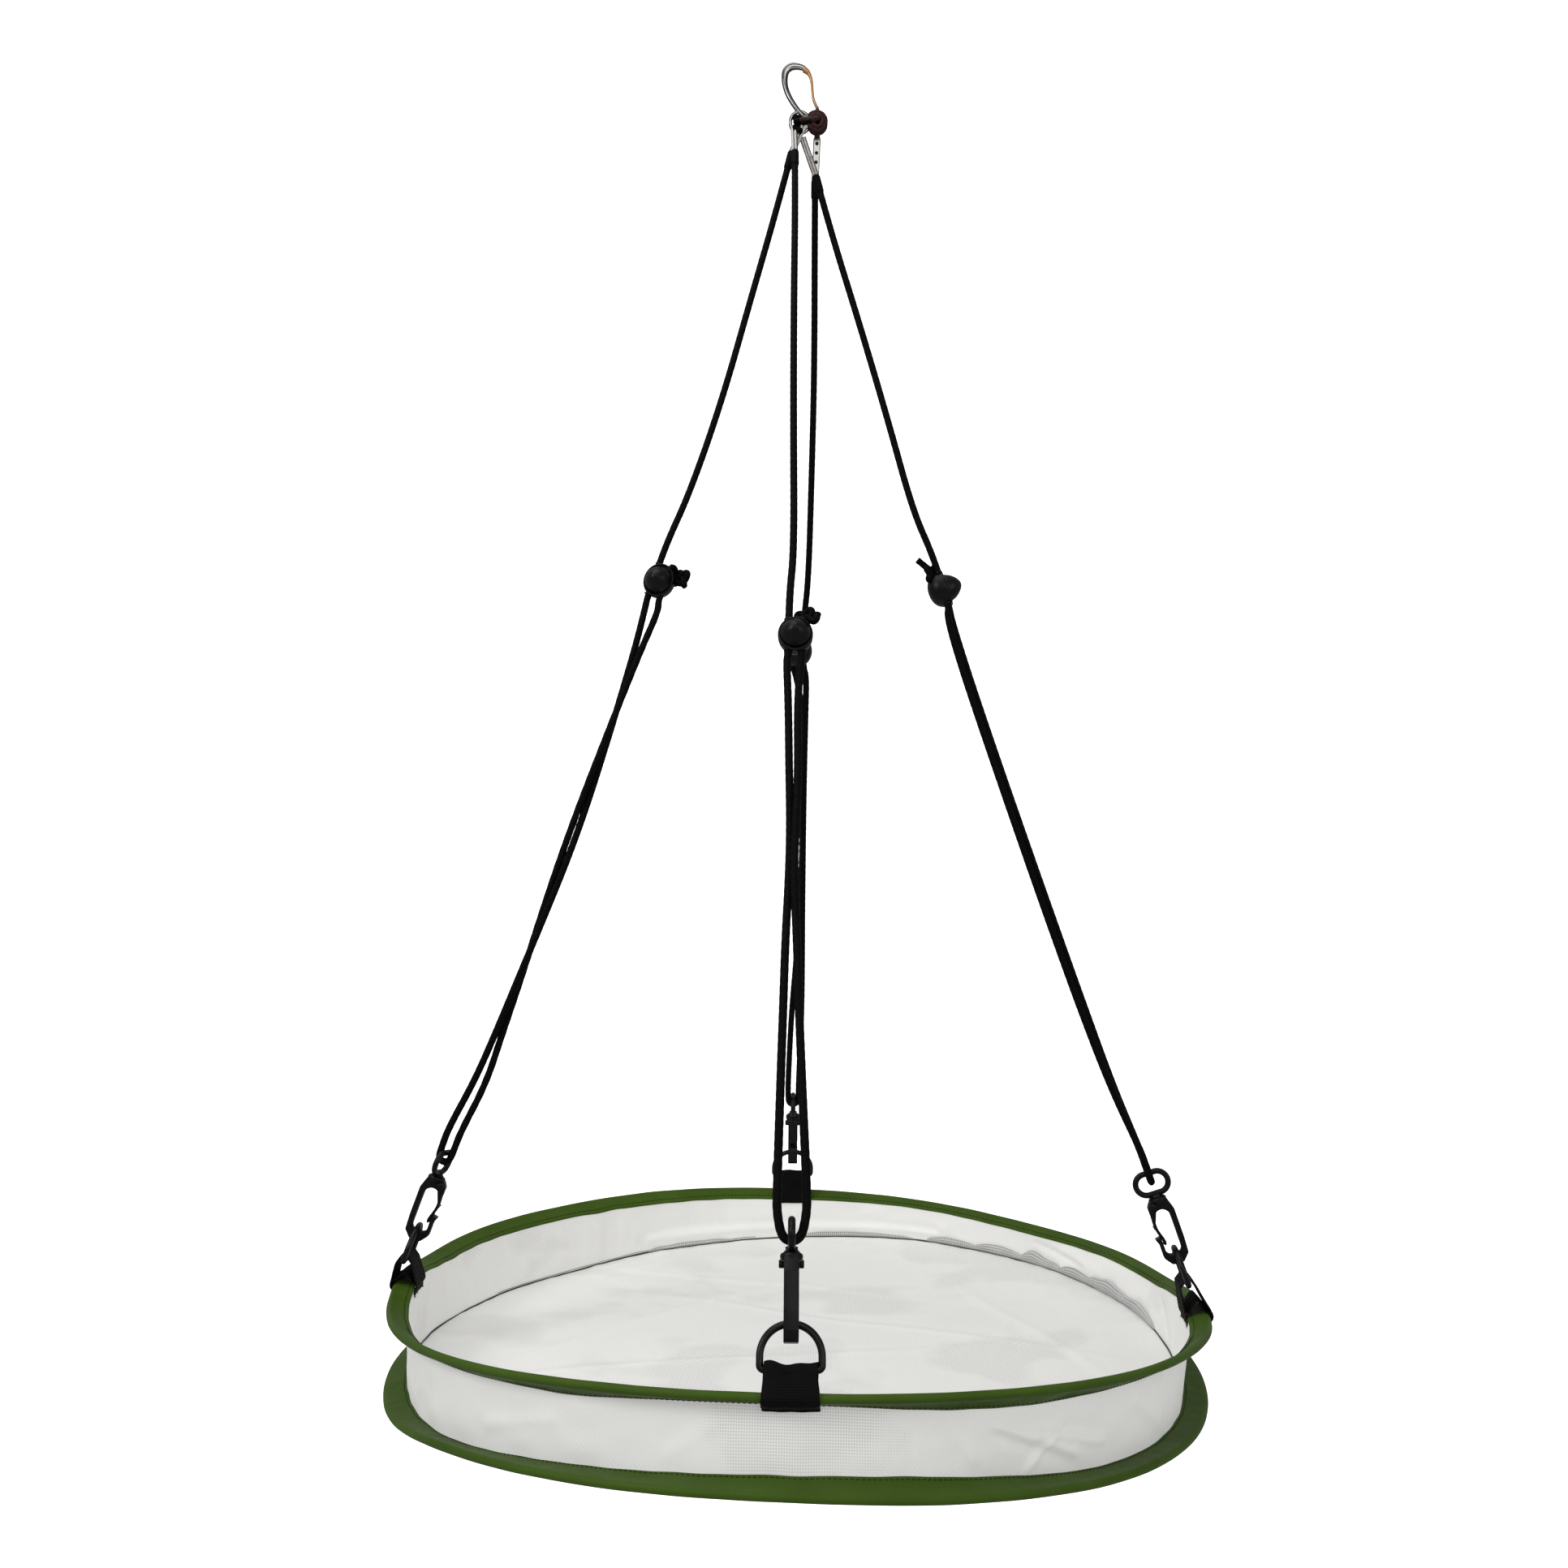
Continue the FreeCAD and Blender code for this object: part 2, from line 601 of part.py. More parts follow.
def cordLock(side):
    name = "cord_lock_" + side
    bore = cylinder(name + "_bore", "Sizes.button_radius + Sizes.button_clearance", "Sizes.lock_width",
                    axis="x", base_x="-Sizes.lock_width / 2 + Sizes.lock_back_wall")
    tools = [bore]
    for number, across in enumerate((-strandHalf, strandHalf)):
        hole = cylinder(name + "_cord_hole_" + str(number), "Sizes.cord / 2 + Sizes.cord_hole_clearance",
                        "Sizes.lock_height * 2", base_z="-Sizes.lock_height")
        hole.Placement.Base = Vector(0, across, -2 * lockTop)
        tools.append(hole)
    body = cut(name, lockShell(name + "_shell", 0), fuse(name + "_tools", tools))
    return keep(name, body, lockPlacement(side))


def lockButton(side):
    """Domed push button; its slot leaves the strands free over the whole travel."""
    name = "lock_button_" + side
    inner = -size("lock_width") / 2 + size("lock_back_wall") + size("button_travel") + size("spring_wire")
    plug = cylinder(name + "_plug", "Sizes.button_radius", "Sizes.lock_width * 2", axis="x")
    plug.Placement.Base = Vector(inner, 0, 0)
    dome = doc.addObject("Part::Common", name + "_dome")
    dome.Base = plug
    dome.Tool = lockShell(name + "_shell", size("button_proud"))
    gap = size("cord") / 2 + size("cord_hole_clearance")
    slot = plainBox(name + "_slot", (-gap, -strandHalf - gap, -2 * lockTop),
                    (gap + size("button_travel"), strandHalf + gap, 2 * lockTop))
    return keep(name, cut(name, dome, slot), lockPlacement(side))


def lockSpring(side):
    """Space of the small spring between the button and the back of the lock."""
    name = "lock_spring_" + side
    floor = -size("lock_width") / 2 + size("lock_back_wall")
    rule = "Sizes.button_travel + Sizes.spring_wire"
    outside = cylinder(name + "_outside", "Sizes.spring_radius", rule, axis="x")
    inside = cylinder(name + "_inside", "Sizes.spring_radius - Sizes.spring_wire", rule, axis="x")
    outside.Placement.Base = Vector(floor, 0, 0)
    inside.Placement.Base = Vector(floor, 0, 0)
    length = size("button_travel") + size("spring_wire")
    ringArea = size("spring_radius") ** 2 - (size("spring_radius") - size("spring_wire")) ** 2
    volumeChecks.append((name, math.pi * length * ringArea))
    return keep(name, cut(name, outside, inside), lockPlacement(side))


def cordKnot(side):
    """Stopper knot on the returning strand, with its short tail."""
    name = "cord_knot_" + side
    centre = Vector(0, strandHalf + size("cord") / 2, strandMouth + size("knot_width") / 2)
    knot = capsule(name + "_knot", "Sizes.knot_length", "Sizes.knot_width / 2", centre, Vector(0, 1, 0))
    tail = cylinder(name + "_tail", "Sizes.cord / 2", "Sizes.tail_length")
    tail.Placement = Placement(centre, Rotation(Vector(1, 0, 0), -size("tail_lean")))
    return keep(name, fuse(name, [knot, tail]), lockPlacement(side))


def cordLoop(side):
    """Both strands from the lock round the eye's bar and back."""
    frame = frames[side]
    name = "cord_loop_" + side
    reach = (frame["lock"] - frame["ring"]).Length - eyeBarTop
    mainTop = strandMouth - size("strand_entry")
    startA = Vector(0, -strandHalf, mainTop)
    turnA = Vector(0, -strandHalf, -reach)
    turnB = Vector(0, strandHalf, -reach)
    startB = Vector(0, strandHalf, strandMouth)
    edges = [
        Part.LineSegment(startA, turnA).toShape(),
        Part.Arc(turnA, Vector(0, 0, -reach - strandHalf), turnB).toShape(),
        Part.LineSegment(turnB, startB).toShape(),
    ]
    length = mainTop + strandMouth + 2 * reach + math.pi * strandHalf
    volumeChecks.append((name, math.pi * (size("cord") / 2) ** 2 * length))
    print(name, "length", round(length, 1), "bend radius", round(strandHalf, 2))
    return keep(name, made(name, tubeAlong(edges, size("cord"))), lockPlacement(side))


def upperStrand(side):
    """End points of the single strand between the link and the lock."""
    frame = frames[side]
    start = frame["top"] + frame["upperDown"] * size(side + "_link_length")
    entry = strandMouth - size("strand_entry") + size("strand_gap")
    end = lockPlacement(side).multVec(Vector(0, -strandHalf, entry))
    return start, end


def cordUpper(side):
    name = "cord_upper_" + side
    start, end = upperStrand(side)
    length = (end - start).Length
    strand = cylinder(name + "_strand", "Sizes.cord / 2", str(length))
    volumeChecks.append((name, math.pi * (size("cord") / 2) ** 2 * length))
    print(name, "length", round(length, 1))
    turn = Rotation(Vector(0, 0, 1), end - start)
    return keep(name, strand, Placement(start, turn))


def topLink(side):
    """Flat steel link: a rolled eye round the carabiner's bar and a pierced strip down the leg."""
    frame = frames[side]
    name = "top_link_" + side
    inner = size("carabiner_wire") / 2 + size("link_clearance")
    outer = inner + size("link_wrap")
    width = size("link_width")
    start = frame["top"] - Vector(width / 2, 0, 0)
    eye = Part.makeCylinder(outer, width, start, Vector(1, 0, 0))
    down = frame["upperDown"]
    face = Vector(1, 0, 0) - down * down.x
    face.normalize()
    length = size(side + "_link_length") - inner - size("link_clearance")
    strip = Part.makeBox(width, size("link_thickness"), length)
    strip.translate(Vector(-width / 2, -size("link_thickness") / 2, 0))
    firstHole = outer - inner + size("link_hole")
    holes = int((length - firstHole - size("link_hole")) // size("link_hole_pitch")) + 1
    for number in range(holes):
        spot = Vector(0, -width, firstHole + number * size("link_hole_pitch"))
        strip = strip.cut(Part.makeCylinder(size("link_hole") / 2, 2 * width, spot, Vector(0, 1, 0)))
    strip.Placement = framePlacement(frame["top"] + down * inner, face, down.cross(face), down)
    bore = Part.makeCylinder(inner, 3 * width, start - Vector(width, 0, 0), Vector(1, 0, 0))
    return keep(name, made(name, eye.fuse(strip).cut(bore).removeSplitter()))


for side in legs:
    webbingTab(side)
    ring(side)
    snapHook(side)
    hookTongue(side)
    swivelEye(side)
    cordLock(side)
    lockButton(side)
    lockSpring(side)
    cordKnot(side)
    cordLoop(side)
    cordUpper(side)
    topLink(side)


# Carabiner: a wire bow whose right side is the gate.

def carabinerPath():
    """Centreline of the bow, from the gate's nose over the top and round to its hinge."""
    wire = size("carabiner_wire")
    half = (size("carabiner_width") - wire) / 2
    corner = size("carabiner_corner")
    top = wire / 2
    shoulder = top - half
    gateTop = shoulder - size("gate_gap")
    hinge = carabinerBarZ + size("gate_hinge_height")
    nearBottom = carabinerBarZ + corner
    slant = math.sin(math.pi / 4)
    return [
        Part.LineSegment(Vector(half, 0, gateTop), Vector(half, 0, shoulder)).toShape(),
        Part.Arc(Vector(half, 0, shoulder), Vector(0, 0, top), Vector(-half, 0, shoulder)).toShape(),
        Part.LineSegment(Vector(-half, 0, shoulder), Vector(-half, 0, nearBottom)).toShape(),
        Part.Arc(Vector(-half, 0, nearBottom),
                 Vector(-half + corner * (1 - slant), 0, nearBottom - corner * slant),
                 Vector(-half + corner, 0, carabinerBarZ)).toShape(),
        Part.LineSegment(Vector(-half + corner, 0, carabinerBarZ),
                         Vector(half - corner, 0, carabinerBarZ)).toShape(),
        Part.Arc(Vector(half - corner, 0, carabinerBarZ),
                 Vector(half - corner * (1 - slant), 0, nearBottom - corner * slant),
                 Vector(half, 0, nearBottom)).toShape(),
        Part.LineSegment(Vector(half, 0, nearBottom), Vector(half, 0, hinge)).toShape(),
    ]


def carabiner():
    """Bow with a forked end, the pin across the fork, and the gate that turns on it."""
    wire = size("carabiner_wire")
    half = (size("carabiner_width") - wire) / 2
    across = Vector(0, 1, 0)
    forkTop = carabinerBarZ + size("gate_hinge_height")
    pinZ = forkTop - size("gate_pin_drop")
    pinStart = Vector(half, -wire / 2, pinZ)
    slotHalf = size("gate_tang") / 2 + size("gate_pin_clearance")
    fork = Part.makeBox(2 * wire, 2 * slotHalf, 2 * wire)
    fork.translate(Vector(half - wire, -slotHalf, pinZ - size("gate_pin_drop")))
    pinHole = Part.makeCylinder(size("gate_pin"), wire, pinStart, across)
    bow = tubeAlong(carabinerPath(), wire)
    keep("main_carabiner", made("main_carabiner", bow.cut(fork).cut(pinHole)))
    pin = cylinder("gate_pin_rod", "Sizes.gate_pin", "Sizes.carabiner_wire", axis="y")
    pin.Placement.Base = pinStart
    keep("carabiner_gate_pin", pin)

    # The gate's foot is hollowed about the pin, so that it clears the fork as it turns.
    gateTop = wire / 2 - half - 2 * size("gate_gap")
    relief = math.hypot(wire / 2, size("gate_pin_drop")) + size("gate_gap")
    gate = Part.makeCylinder(wire / 2, gateTop - pinZ, Vector(half, 0, pinZ))
    gate = gate.cut(Part.makeCylinder(relief, wire, pinStart, across))
    tangRadius = size("gate_pin_drop") - size("gate_gap") / 2
    tangStart = Vector(half, -size("gate_tang") / 2, pinZ)
    tang = Part.makeBox(2 * tangRadius, size("gate_tang"), relief + wire / 2)
    tang.translate(tangStart - Vector(tangRadius, 0, 0))
    tangEnd = Part.makeCylinder(tangRadius, size("gate_tang"), tangStart, across)
    loosePin = Part.makeCylinder(size("gate_pin") + size("gate_pin_clearance"), wire, pinStart, across)
    gate = gate.fuse(tang).fuse(tangEnd).cut(loosePin)
    keep("carabiner_gate", made("carabiner_gate", gate.removeSplitter()))


def gatherCord():
    """Braided cord bound round the four links just under the bar, with its knot."""
    level = carabinerBarZ - size("binding_drop")
    halfWidth = size("binding_half_width")
    halfDepth = size("binding_half_depth")
    straight = halfWidth - halfDepth
    edges = [
        Part.LineSegment(Vector(-straight, -halfDepth, level), Vector(straight, -halfDepth, level)).toShape(),
        Part.Arc(Vector(straight, -halfDepth, level), Vector(halfWidth, 0, level),
                 Vector(straight, halfDepth, level)).toShape(),
        Part.LineSegment(Vector(straight, halfDepth, level), Vector(-straight, halfDepth, level)).toShape(),
        Part.Arc(Vector(-straight, halfDepth, level), Vector(-halfWidth, 0, level),
                 Vector(-straight, -halfDepth, level)).toShape(),
    ]
    section = Part.Circle(Vector(-straight, -halfDepth, level), Vector(1, 0, 0), size("binding_cord") / 2)
    loop = Part.Wire(edges).makePipeShell([Part.Wire(section.toShape())], True, False)
    loop = keep("gather_cord", made("gather_cord", loop))
    knot = doc.addObject("Part::Sphere", "gather_knot_ball")
    bind(knot, Radius="Sizes.binding_knot / 2")
    knot.Placement.Base = Vector(halfWidth + size("binding_knot") / 2, 0, level)
    keep("gather_knot", cut("gather_knot", knot, loop))


carabiner()
gatherCord()

doc.recompute()

faults = []
for item in doc.Objects:
    if "Invalid" in item.State or "Error" in item.State:
        faults.append("failed: " + item.Label)
for name, item in nodes.items():
    if item.Shape.isNull() or not item.Shape.isValid():
        faults.append("bad shape: " + name)
for name, expected in volumeChecks:
    volume = nodes[name].Shape.Volume
    if abs(volume - expected) > 0.01 * expected:
        faults.append("volume of %s: %.1f not %.1f" % (name, volume, expected))
if faults:
    raise RuntimeError("; ".join(faults))

os.makedirs("parts", exist_ok=True)
for name, item in nodes.items():
    item.Shape.exportStep("parts/" + name + ".step")
print(len(nodes), "nodes written")
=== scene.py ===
import json
import math

import bpy
import numpy as np
from mathutils import Matrix, Vector


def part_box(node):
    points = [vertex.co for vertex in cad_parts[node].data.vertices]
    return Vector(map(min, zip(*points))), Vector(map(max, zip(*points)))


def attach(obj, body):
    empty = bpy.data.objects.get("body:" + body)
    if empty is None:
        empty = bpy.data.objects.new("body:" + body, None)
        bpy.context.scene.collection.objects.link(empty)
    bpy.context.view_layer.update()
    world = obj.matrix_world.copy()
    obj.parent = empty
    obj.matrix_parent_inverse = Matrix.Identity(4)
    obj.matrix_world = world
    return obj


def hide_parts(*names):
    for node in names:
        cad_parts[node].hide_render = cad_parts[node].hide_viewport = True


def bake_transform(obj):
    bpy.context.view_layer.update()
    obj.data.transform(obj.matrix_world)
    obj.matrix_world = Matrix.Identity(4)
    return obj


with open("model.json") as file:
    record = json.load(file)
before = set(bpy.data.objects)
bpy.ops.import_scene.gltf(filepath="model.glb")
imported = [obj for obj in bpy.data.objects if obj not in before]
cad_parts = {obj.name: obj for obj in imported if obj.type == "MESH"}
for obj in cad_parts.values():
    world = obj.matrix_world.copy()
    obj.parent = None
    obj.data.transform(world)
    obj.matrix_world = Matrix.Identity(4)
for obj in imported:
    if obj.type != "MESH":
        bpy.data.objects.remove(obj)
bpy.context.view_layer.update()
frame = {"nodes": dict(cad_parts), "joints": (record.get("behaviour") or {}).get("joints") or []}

# Hanging seed tray: two hoops in green sleeves, a net wall and floor, four
# webbing tabs with rings and snap hooks, and four cord legs on one carabiner.
# Metres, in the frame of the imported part. -Y is the front.

scene = bpy.context.scene
mm = 0.001
upward = np.array([0, 0, 1.0])
sides = ("front", "left", "right", "back")
jointOf = {joint["name"]: joint for joint in frame["joints"]}


# Small tools for meshes

def unit(vector):
    vector = np.asarray(vector, float)
    return vector / np.linalg.norm(vector)


def smoothStep(value):
    value = np.clip(value, 0, 1)
    return value * value * (3 - 2 * value)


def fullTurn(count):
    # angles of one full turn in equal steps
    return np.linspace(0, 2 * math.pi, count, endpoint=False)


def degreesFrom(t, centre):
    # how far round the hoop from one place, between -180 and 180
    return (np.degrees(t) - centre + 180) % 360 - 180


def splineBlend(before, start, end, after, share):
    # smooth curve from start to end, led by the points before and after them
    return 0.5 * (2 * start + (end - before) * share + (2 * before - 5 * start + 4 * end - after) * share ** 2
                  + (3 * start - before - 3 * end + after) * share ** 3)


def overhand(t):
    # the three waves that draw an overhand knot: across it, up it and through it
    return t ** 3 - 3 * t, t ** 4 - 4 * t ** 2, t ** 5 - 10 * t


def ringNoise(angles, low, high, seed):
    # wavy line that closes after a full turn, about -1 to 1
    dice = np.random.default_rng(seed)
    total = np.zeros_like(angles)
    for wave in range(low, high + 1):
        total += dice.normal() * np.cos(wave * angles) + dice.normal() * np.sin(wave * angles)
    return total / math.sqrt(2 * (high - low + 1))


def addObject(name, mesh, material, sharpAngle=35):
    obj = bpy.data.objects.new(name, mesh)
    scene.collection.objects.link(obj)
    mesh.materials.clear()
    mesh.materials.append(material)
    mesh.shade_smooth()
    mesh.set_sharp_from_angle(angle=math.radians(sharpAngle))
    return obj


def meshFrom(name, points, faces, faceUv=None):
    mesh = bpy.data.meshes.new(name)
    mesh.from_pydata(points.tolist(), [], faces)
    layer = mesh.uv_layers.new(name="UVMap")
    if faceUv is not None:
        layer.data.foreach_set("uv", np.asarray(faceUv, np.float32).ravel())
    mesh.validate()
    return mesh


def makePiece(name, parts, material, sharpAngle=35):
    return addObject(name, meshFrom(name, *parts), material, sharpAngle)


def gridParts(points, rowPlace, columnPlace, closeRows=False, closeColumns=False, caps=False):
    # quads of a grid of points; the places along its rows and columns are metres for the weave
    rows, columns = points.shape[:2]
    row = np.arange(rows if closeRows else rows - 1)
    column = np.arange(columns if closeColumns else columns - 1)
    row, column = (part.ravel() for part in np.meshgrid(row, column, indexing="ij"))
    nextRow, nextColumn = (row + 1) % rows, (column + 1) % columns
    quads = np.stack([row * columns + column, nextRow * columns + column,
                      nextRow * columns + nextColumn, row * columns + nextColumn], 1)
    along = np.stack([row, row + 1, row + 1, row], 1).ravel()
    across = np.stack([column, column, column + 1, column + 1], 1).ravel()
    faceUv = np.stack([rowPlace[along], columnPlace[across]], 1)
    faces = quads.tolist()
    if caps:
        faces.append(list(range(columns)))
        faces.append(list(range((rows - 1) * columns, rows * columns))[::-1])
        faceUv = np.concatenate([faceUv, np.zeros((2 * columns, 2))])
    return points.reshape(-1, 3), faces, faceUv


def joinParts(parts):
    points, faces, faceUv, start = [], [], [], 0
    for partPoints, partFaces, partUv in parts:
        points.append(partPoints)
        faces.extend([[index + start for index in face] for face in partFaces])
        faceUv.append(partUv)
        start += len(partPoints)
    return np.concatenate(points), faces, np.concatenate(faceUv)


def lineLengths(path):
    return np.concatenate([[0], np.cumsum(np.linalg.norm(np.diff(path, axis=0), axis=1))])


def evenSteps(path, step):
    lengths = lineLengths(path)
    count = max(3, int(round(lengths[-1] / step)) + 1)
    spots = np.linspace(0, lengths[-1], count)
    return np.stack([np.interp(spots, lengths, path[:, axis]) for axis in range(3)], 1)


def softLine(points, step):
    # smooth line through the points
    points = np.asarray(points, float)
    padded = np.concatenate([[2 * points[0] - points[1]], points, [2 * points[-1] - points[-2]]])
    line = []
    for before, start, end, after in zip(padded, padded[1:], padded[2:], padded[3:]):
        share = np.linspace(0, 1, 24, endpoint=False)[:, None]
        line.append(splineBlend(before, start, end, after, share))
    line.append(points[-1:])
    return evenSteps(np.concatenate(line), step)


def tubeParts(path, radius, columns, closed=False, braid=0.0):
    # round tube along a path; the radius may change along it, and a braid raises its strands
    path = np.asarray(path, float)
    rows = len(path)
    heading = np.gradient(path, axis=0)
    if closed:
        heading = np.roll(path, -1, 0) - np.roll(path, 1, 0)
    heading /= np.linalg.norm(heading, axis=1)[:, None]
    side = np.cross(heading[0], (0, 0, 1) if abs(heading[0][2]) < 0.9 else (1, 0, 0))
    sidesAlong = []
    for direction in heading:
        side = side - direction * side.dot(direction)
        side = side / np.linalg.norm(side)
        sidesAlong.append(side)
    sideA = np.array(sidesAlong)
    sideB = np.cross(heading, sideA)
    radius = np.broadcast_to(radius, (rows,))
    around = fullTurn(columns)
    lengths = lineLengths(path)
    size = radius[:, None] * np.ones((1, columns))
    if braid:
        lay = lengths[:, None] / (radius[:, None] * 2.2)
        one = np.sin(4 * around + 2 * math.pi * lay / 2)
        other = np.sin(4 * around - 2 * math.pi * lay / 2)
        size = size * (1 - braid + braid * np.maximum(one, other))
    points = path[:, None] + size[..., None] * (np.cos(around)[None, :, None] * sideA[:, None]
                                               + np.sin(around)[None, :, None] * sideB[:, None])
    wide = float(radius.mean()) * 2 * math.pi
    rowPlace = np.append(lengths, lengths[-1] + (lengths[-1] / max(rows - 1, 1)))
    return gridParts(points, rowPlace, np.linspace(0, wide, columns + 1), closed, True, not closed)


def turnedParts(profile, columns, oval=1.0, wobble=0.0, seed=0):
    # body turned about the local X axis from (x, radius) pairs in mm; oval stretches it along Z
    profile = np.asarray(profile, float) * mm
    line = softLine(np.stack([profile[:, 0], profile[:, 1], profile[:, 1] * 0], 1), 0.0004)
    around = fullTurn(columns)
    radius = np.maximum(line[:, 1:2], 1e-5) * (1 + wobble * ringNoise(around, 2, 7, seed)[None])
    points = np.stack([line[:, :1] + 0 * radius, radius * np.cos(around), oval * radius * np.sin(around)], 2)
    places = lineLengths(line)
    return gridParts(points, places, np.linspace(0, 2 * math.pi * 0.01, columns + 1), False, True, True)


def lineSides(line):
    # direction of a flat line and the way across it, at each of its points
    heading = np.gradient(line, axis=0)
    heading /= np.linalg.norm(heading, axis=1)[:, None]
    return heading, np.stack([heading[:, 1], -heading[:, 0]], 1)


def stripParts(line, thickness, width, columns=24):
    # strip bent along a line of (x, z) in mm, with rounded edges; both sizes may change along it
    line = np.asarray(line, float)
    normal = lineSides(line)[1]
    angle = fullTurn(columns)
    thin = np.sign(np.cos(angle)) * np.abs(np.cos(angle)) ** 0.4 / 2
    wide = np.sign(np.sin(angle)) * np.abs(np.sin(angle)) ** 0.4 / 2
    thickness = np.broadcast_to(thickness, (len(line),))[:, None] * thin
    width = np.broadcast_to(width, (len(line),))[:, None] * wide
    points = np.stack([line[:, :1] + normal[:, :1] * thickness, width, line[:, 1:] + normal[:, 1:] * thickness], 2)
    places = lineLengths(line) * mm
    around = np.linspace(0, 2 * float(np.abs(width).max()) * 2, columns + 1) * mm
    return gridParts(points * mm, np.append(places, places[-1]), around, False, True, True)


def roundedOutline(corners):
    # (x, z, radius) corners in mm; each corner is rounded by its radius
    outline = []
    count = len(corners)
    for index in range(count):
        before, here, after = corners[index - 1], corners[index], corners[(index + 1) % count]
        point, radius = np.array(here[:2], float), here[2]
        back, ahead = unit(np.array(before[:2]) - point), unit(np.array(after[:2]) - point)
        half = math.acos(np.clip(back.dot(ahead), -1, 1)) / 2
        if radius <= 0 or half > 1.55:
            outline.append(point)
            continue
        reach = radius / math.tan(half)
        centre = point + unit(back + ahead) * radius / math.sin(half)
        start, end = point + back * reach, point + ahead * reach
        first = math.atan2(*(start - centre)[::-1])
        sweep = (math.atan2(*(end - centre)[::-1]) - first + math.pi) % (2 * math.pi) - math.pi
        for share in np.linspace(0, 1, 7):
            outline.append(centre + radius * np.array([math.cos(first + sweep * share),
                                                       math.sin(first + sweep * share)]))
    return outline


def meshOfCurve(curve):
    holder = bpy.data.objects.new(curve.name, curve)
    scene.collection.objects.link(holder)
    mesh = bpy.data.meshes.new_from_object(holder)
    bpy.data.objects.remove(holder)
    bpy.data.curves.remove(curve)
    return mesh


def plateMesh(name, outlines, thickness, bevel, place):
    # flat moulded piece cut from outlines in its local XZ plane, with softened edges
    curve = bpy.data.curves.new(name, "CURVE")
    curve.dimensions = "2D"
    curve.fill_mode = "BOTH"
    curve.extrude = (thickness / 2 - bevel) * mm
    curve.bevel_depth = bevel * mm
    curve.bevel_resolution = 3
    curve.offset = -bevel * mm
    for outline in outlines:
        spline = curve.splines.new("POLY")
        spline.points.add(len(outline) - 1)
        for point, (x, z) in zip(spline.points, outline):
            point.co = (x * mm, z * mm, 0, 1)
        spline.use_cyclic_u = True
    mesh = meshOfCurve(curve)
    upright = Matrix(((1, 0, 0, 0), (0, 0, -1, 0), (0, 1, 0, 0), (0, 0, 0, 1)))
    mesh.transform(place @ upright)
    return mesh


def movedBy(place, parts):
    points, faces, faceUv = parts
    matrix = np.array(place)
    return points @ matrix[:3, :3].T + matrix[:3, 3], faces, faceUv


def placeMatrix(origin, xAxis, yAxis, zAxis):
    matrix = Matrix.Identity(4)
    for column, axis in enumerate((xAxis, yAxis, zAxis, origin)):
        for row in range(3):
            matrix[row][column] = float(axis[row])
    return matrix


# Materials. Weave, braid and mottling are shared groups; each material sets its own values.

def newNode(tree, kind, inputs=None, **settings):
    node = tree.nodes.new(kind)
    for word, value in settings.items():
        setattr(node, word, value)
    for socket, value in (inputs or {}).items():
        if isinstance(value, bpy.types.NodeSocket):
            tree.links.new(value, node.inputs[socket])
        else:
            node.inputs[socket].default_value = value
    return node


def newGroup(name, inputs, outputs):
    tree = bpy.data.node_groups.new(name, "ShaderNodeTree")
    for label, value in inputs.items():
        socket = tree.interface.new_socket(label, in_out="INPUT", socket_type="NodeSocketFloat")
        socket.default_value = value
    for label in outputs:
        tree.interface.new_socket(label, in_out="OUTPUT", socket_type="NodeSocketFloat")
    return tree, tree.nodes.new("NodeGroupInput"), tree.nodes.new("NodeGroupOutput")


def mathNode(tree, operation, first, second=0.5, third=None):
    inputs = {0: first, 1: second}
    if third is not None:
        inputs[2] = third
    return newNode(tree, "ShaderNodeMath", inputs, operation=operation).outputs[0]


def makeWeaveGroup():
    # plain weave seen along the piece: threads over and under, in two directions
    tree, given, result = newGroup("plainWeave", {"Pitch Along": 0.001, "Pitch Across": 0.001}, ("Height", "Pore"))
    spot = newNode(tree, "ShaderNodeUVMap").outputs[0]
    parts = newNode(tree, "ShaderNodeSeparateXYZ", {0: spot})
    waves = []
    for axis, pitch in enumerate(("Pitch Along", "Pitch Across")):
        turn = mathNode(tree, "DIVIDE", parts.outputs[axis], given.outputs[pitch])
        waves.append(mathNode(tree, "SINE", mathNode(tree, "MULTIPLY", turn, 2 * math.pi)))
    crossing = mathNode(tree, "MULTIPLY", waves[0], waves[1])
    height = mathNode(tree, "MULTIPLY_ADD", crossing, 0.5, 0.5)
    pore = mathNode(tree, "POWER", mathNode(tree, "ABSOLUTE", crossing), 2.0)
    tree.links.new(height, result.inputs["Height"])
    tree.links.new(pore, result.inputs["Pore"])
    return tree


def makeBraidGroup():
    # strands that cross at an angle round a cord
    tree, given, result = newGroup("braidedCord", {"Lay": 0.004, "Strand": 0.0016}, ("Height", "Groove Shade"))
    parts = newNode(tree, "ShaderNodeSeparateXYZ", {0: newNode(tree, "ShaderNodeUVMap").outputs[0]})
    along = mathNode(tree, "DIVIDE", parts.outputs[0], given.outputs["Lay"])
    across = mathNode(tree, "DIVIDE", parts.outputs[1], given.outputs["Strand"])
    one = mathNode(tree, "SINE", mathNode(tree, "MULTIPLY", mathNode(tree, "ADD", along, across), 2 * math.pi))
    other = mathNode(tree, "SINE", mathNode(tree, "MULTIPLY", mathNode(tree, "SUBTRACT", along, across), 2 * math.pi))
    height = mathNode(tree, "MAXIMUM", one, other)
    tree.links.new(mathNode(tree, "MULTIPLY_ADD", height, 0.5, 0.5), result.inputs["Height"])
    # the low places between strands, which the cord material darkens as painted shade
    tree.links.new(mathNode(tree, "LESS_THAN", height, 0.15), result.inputs["Groove Shade"])
    return tree


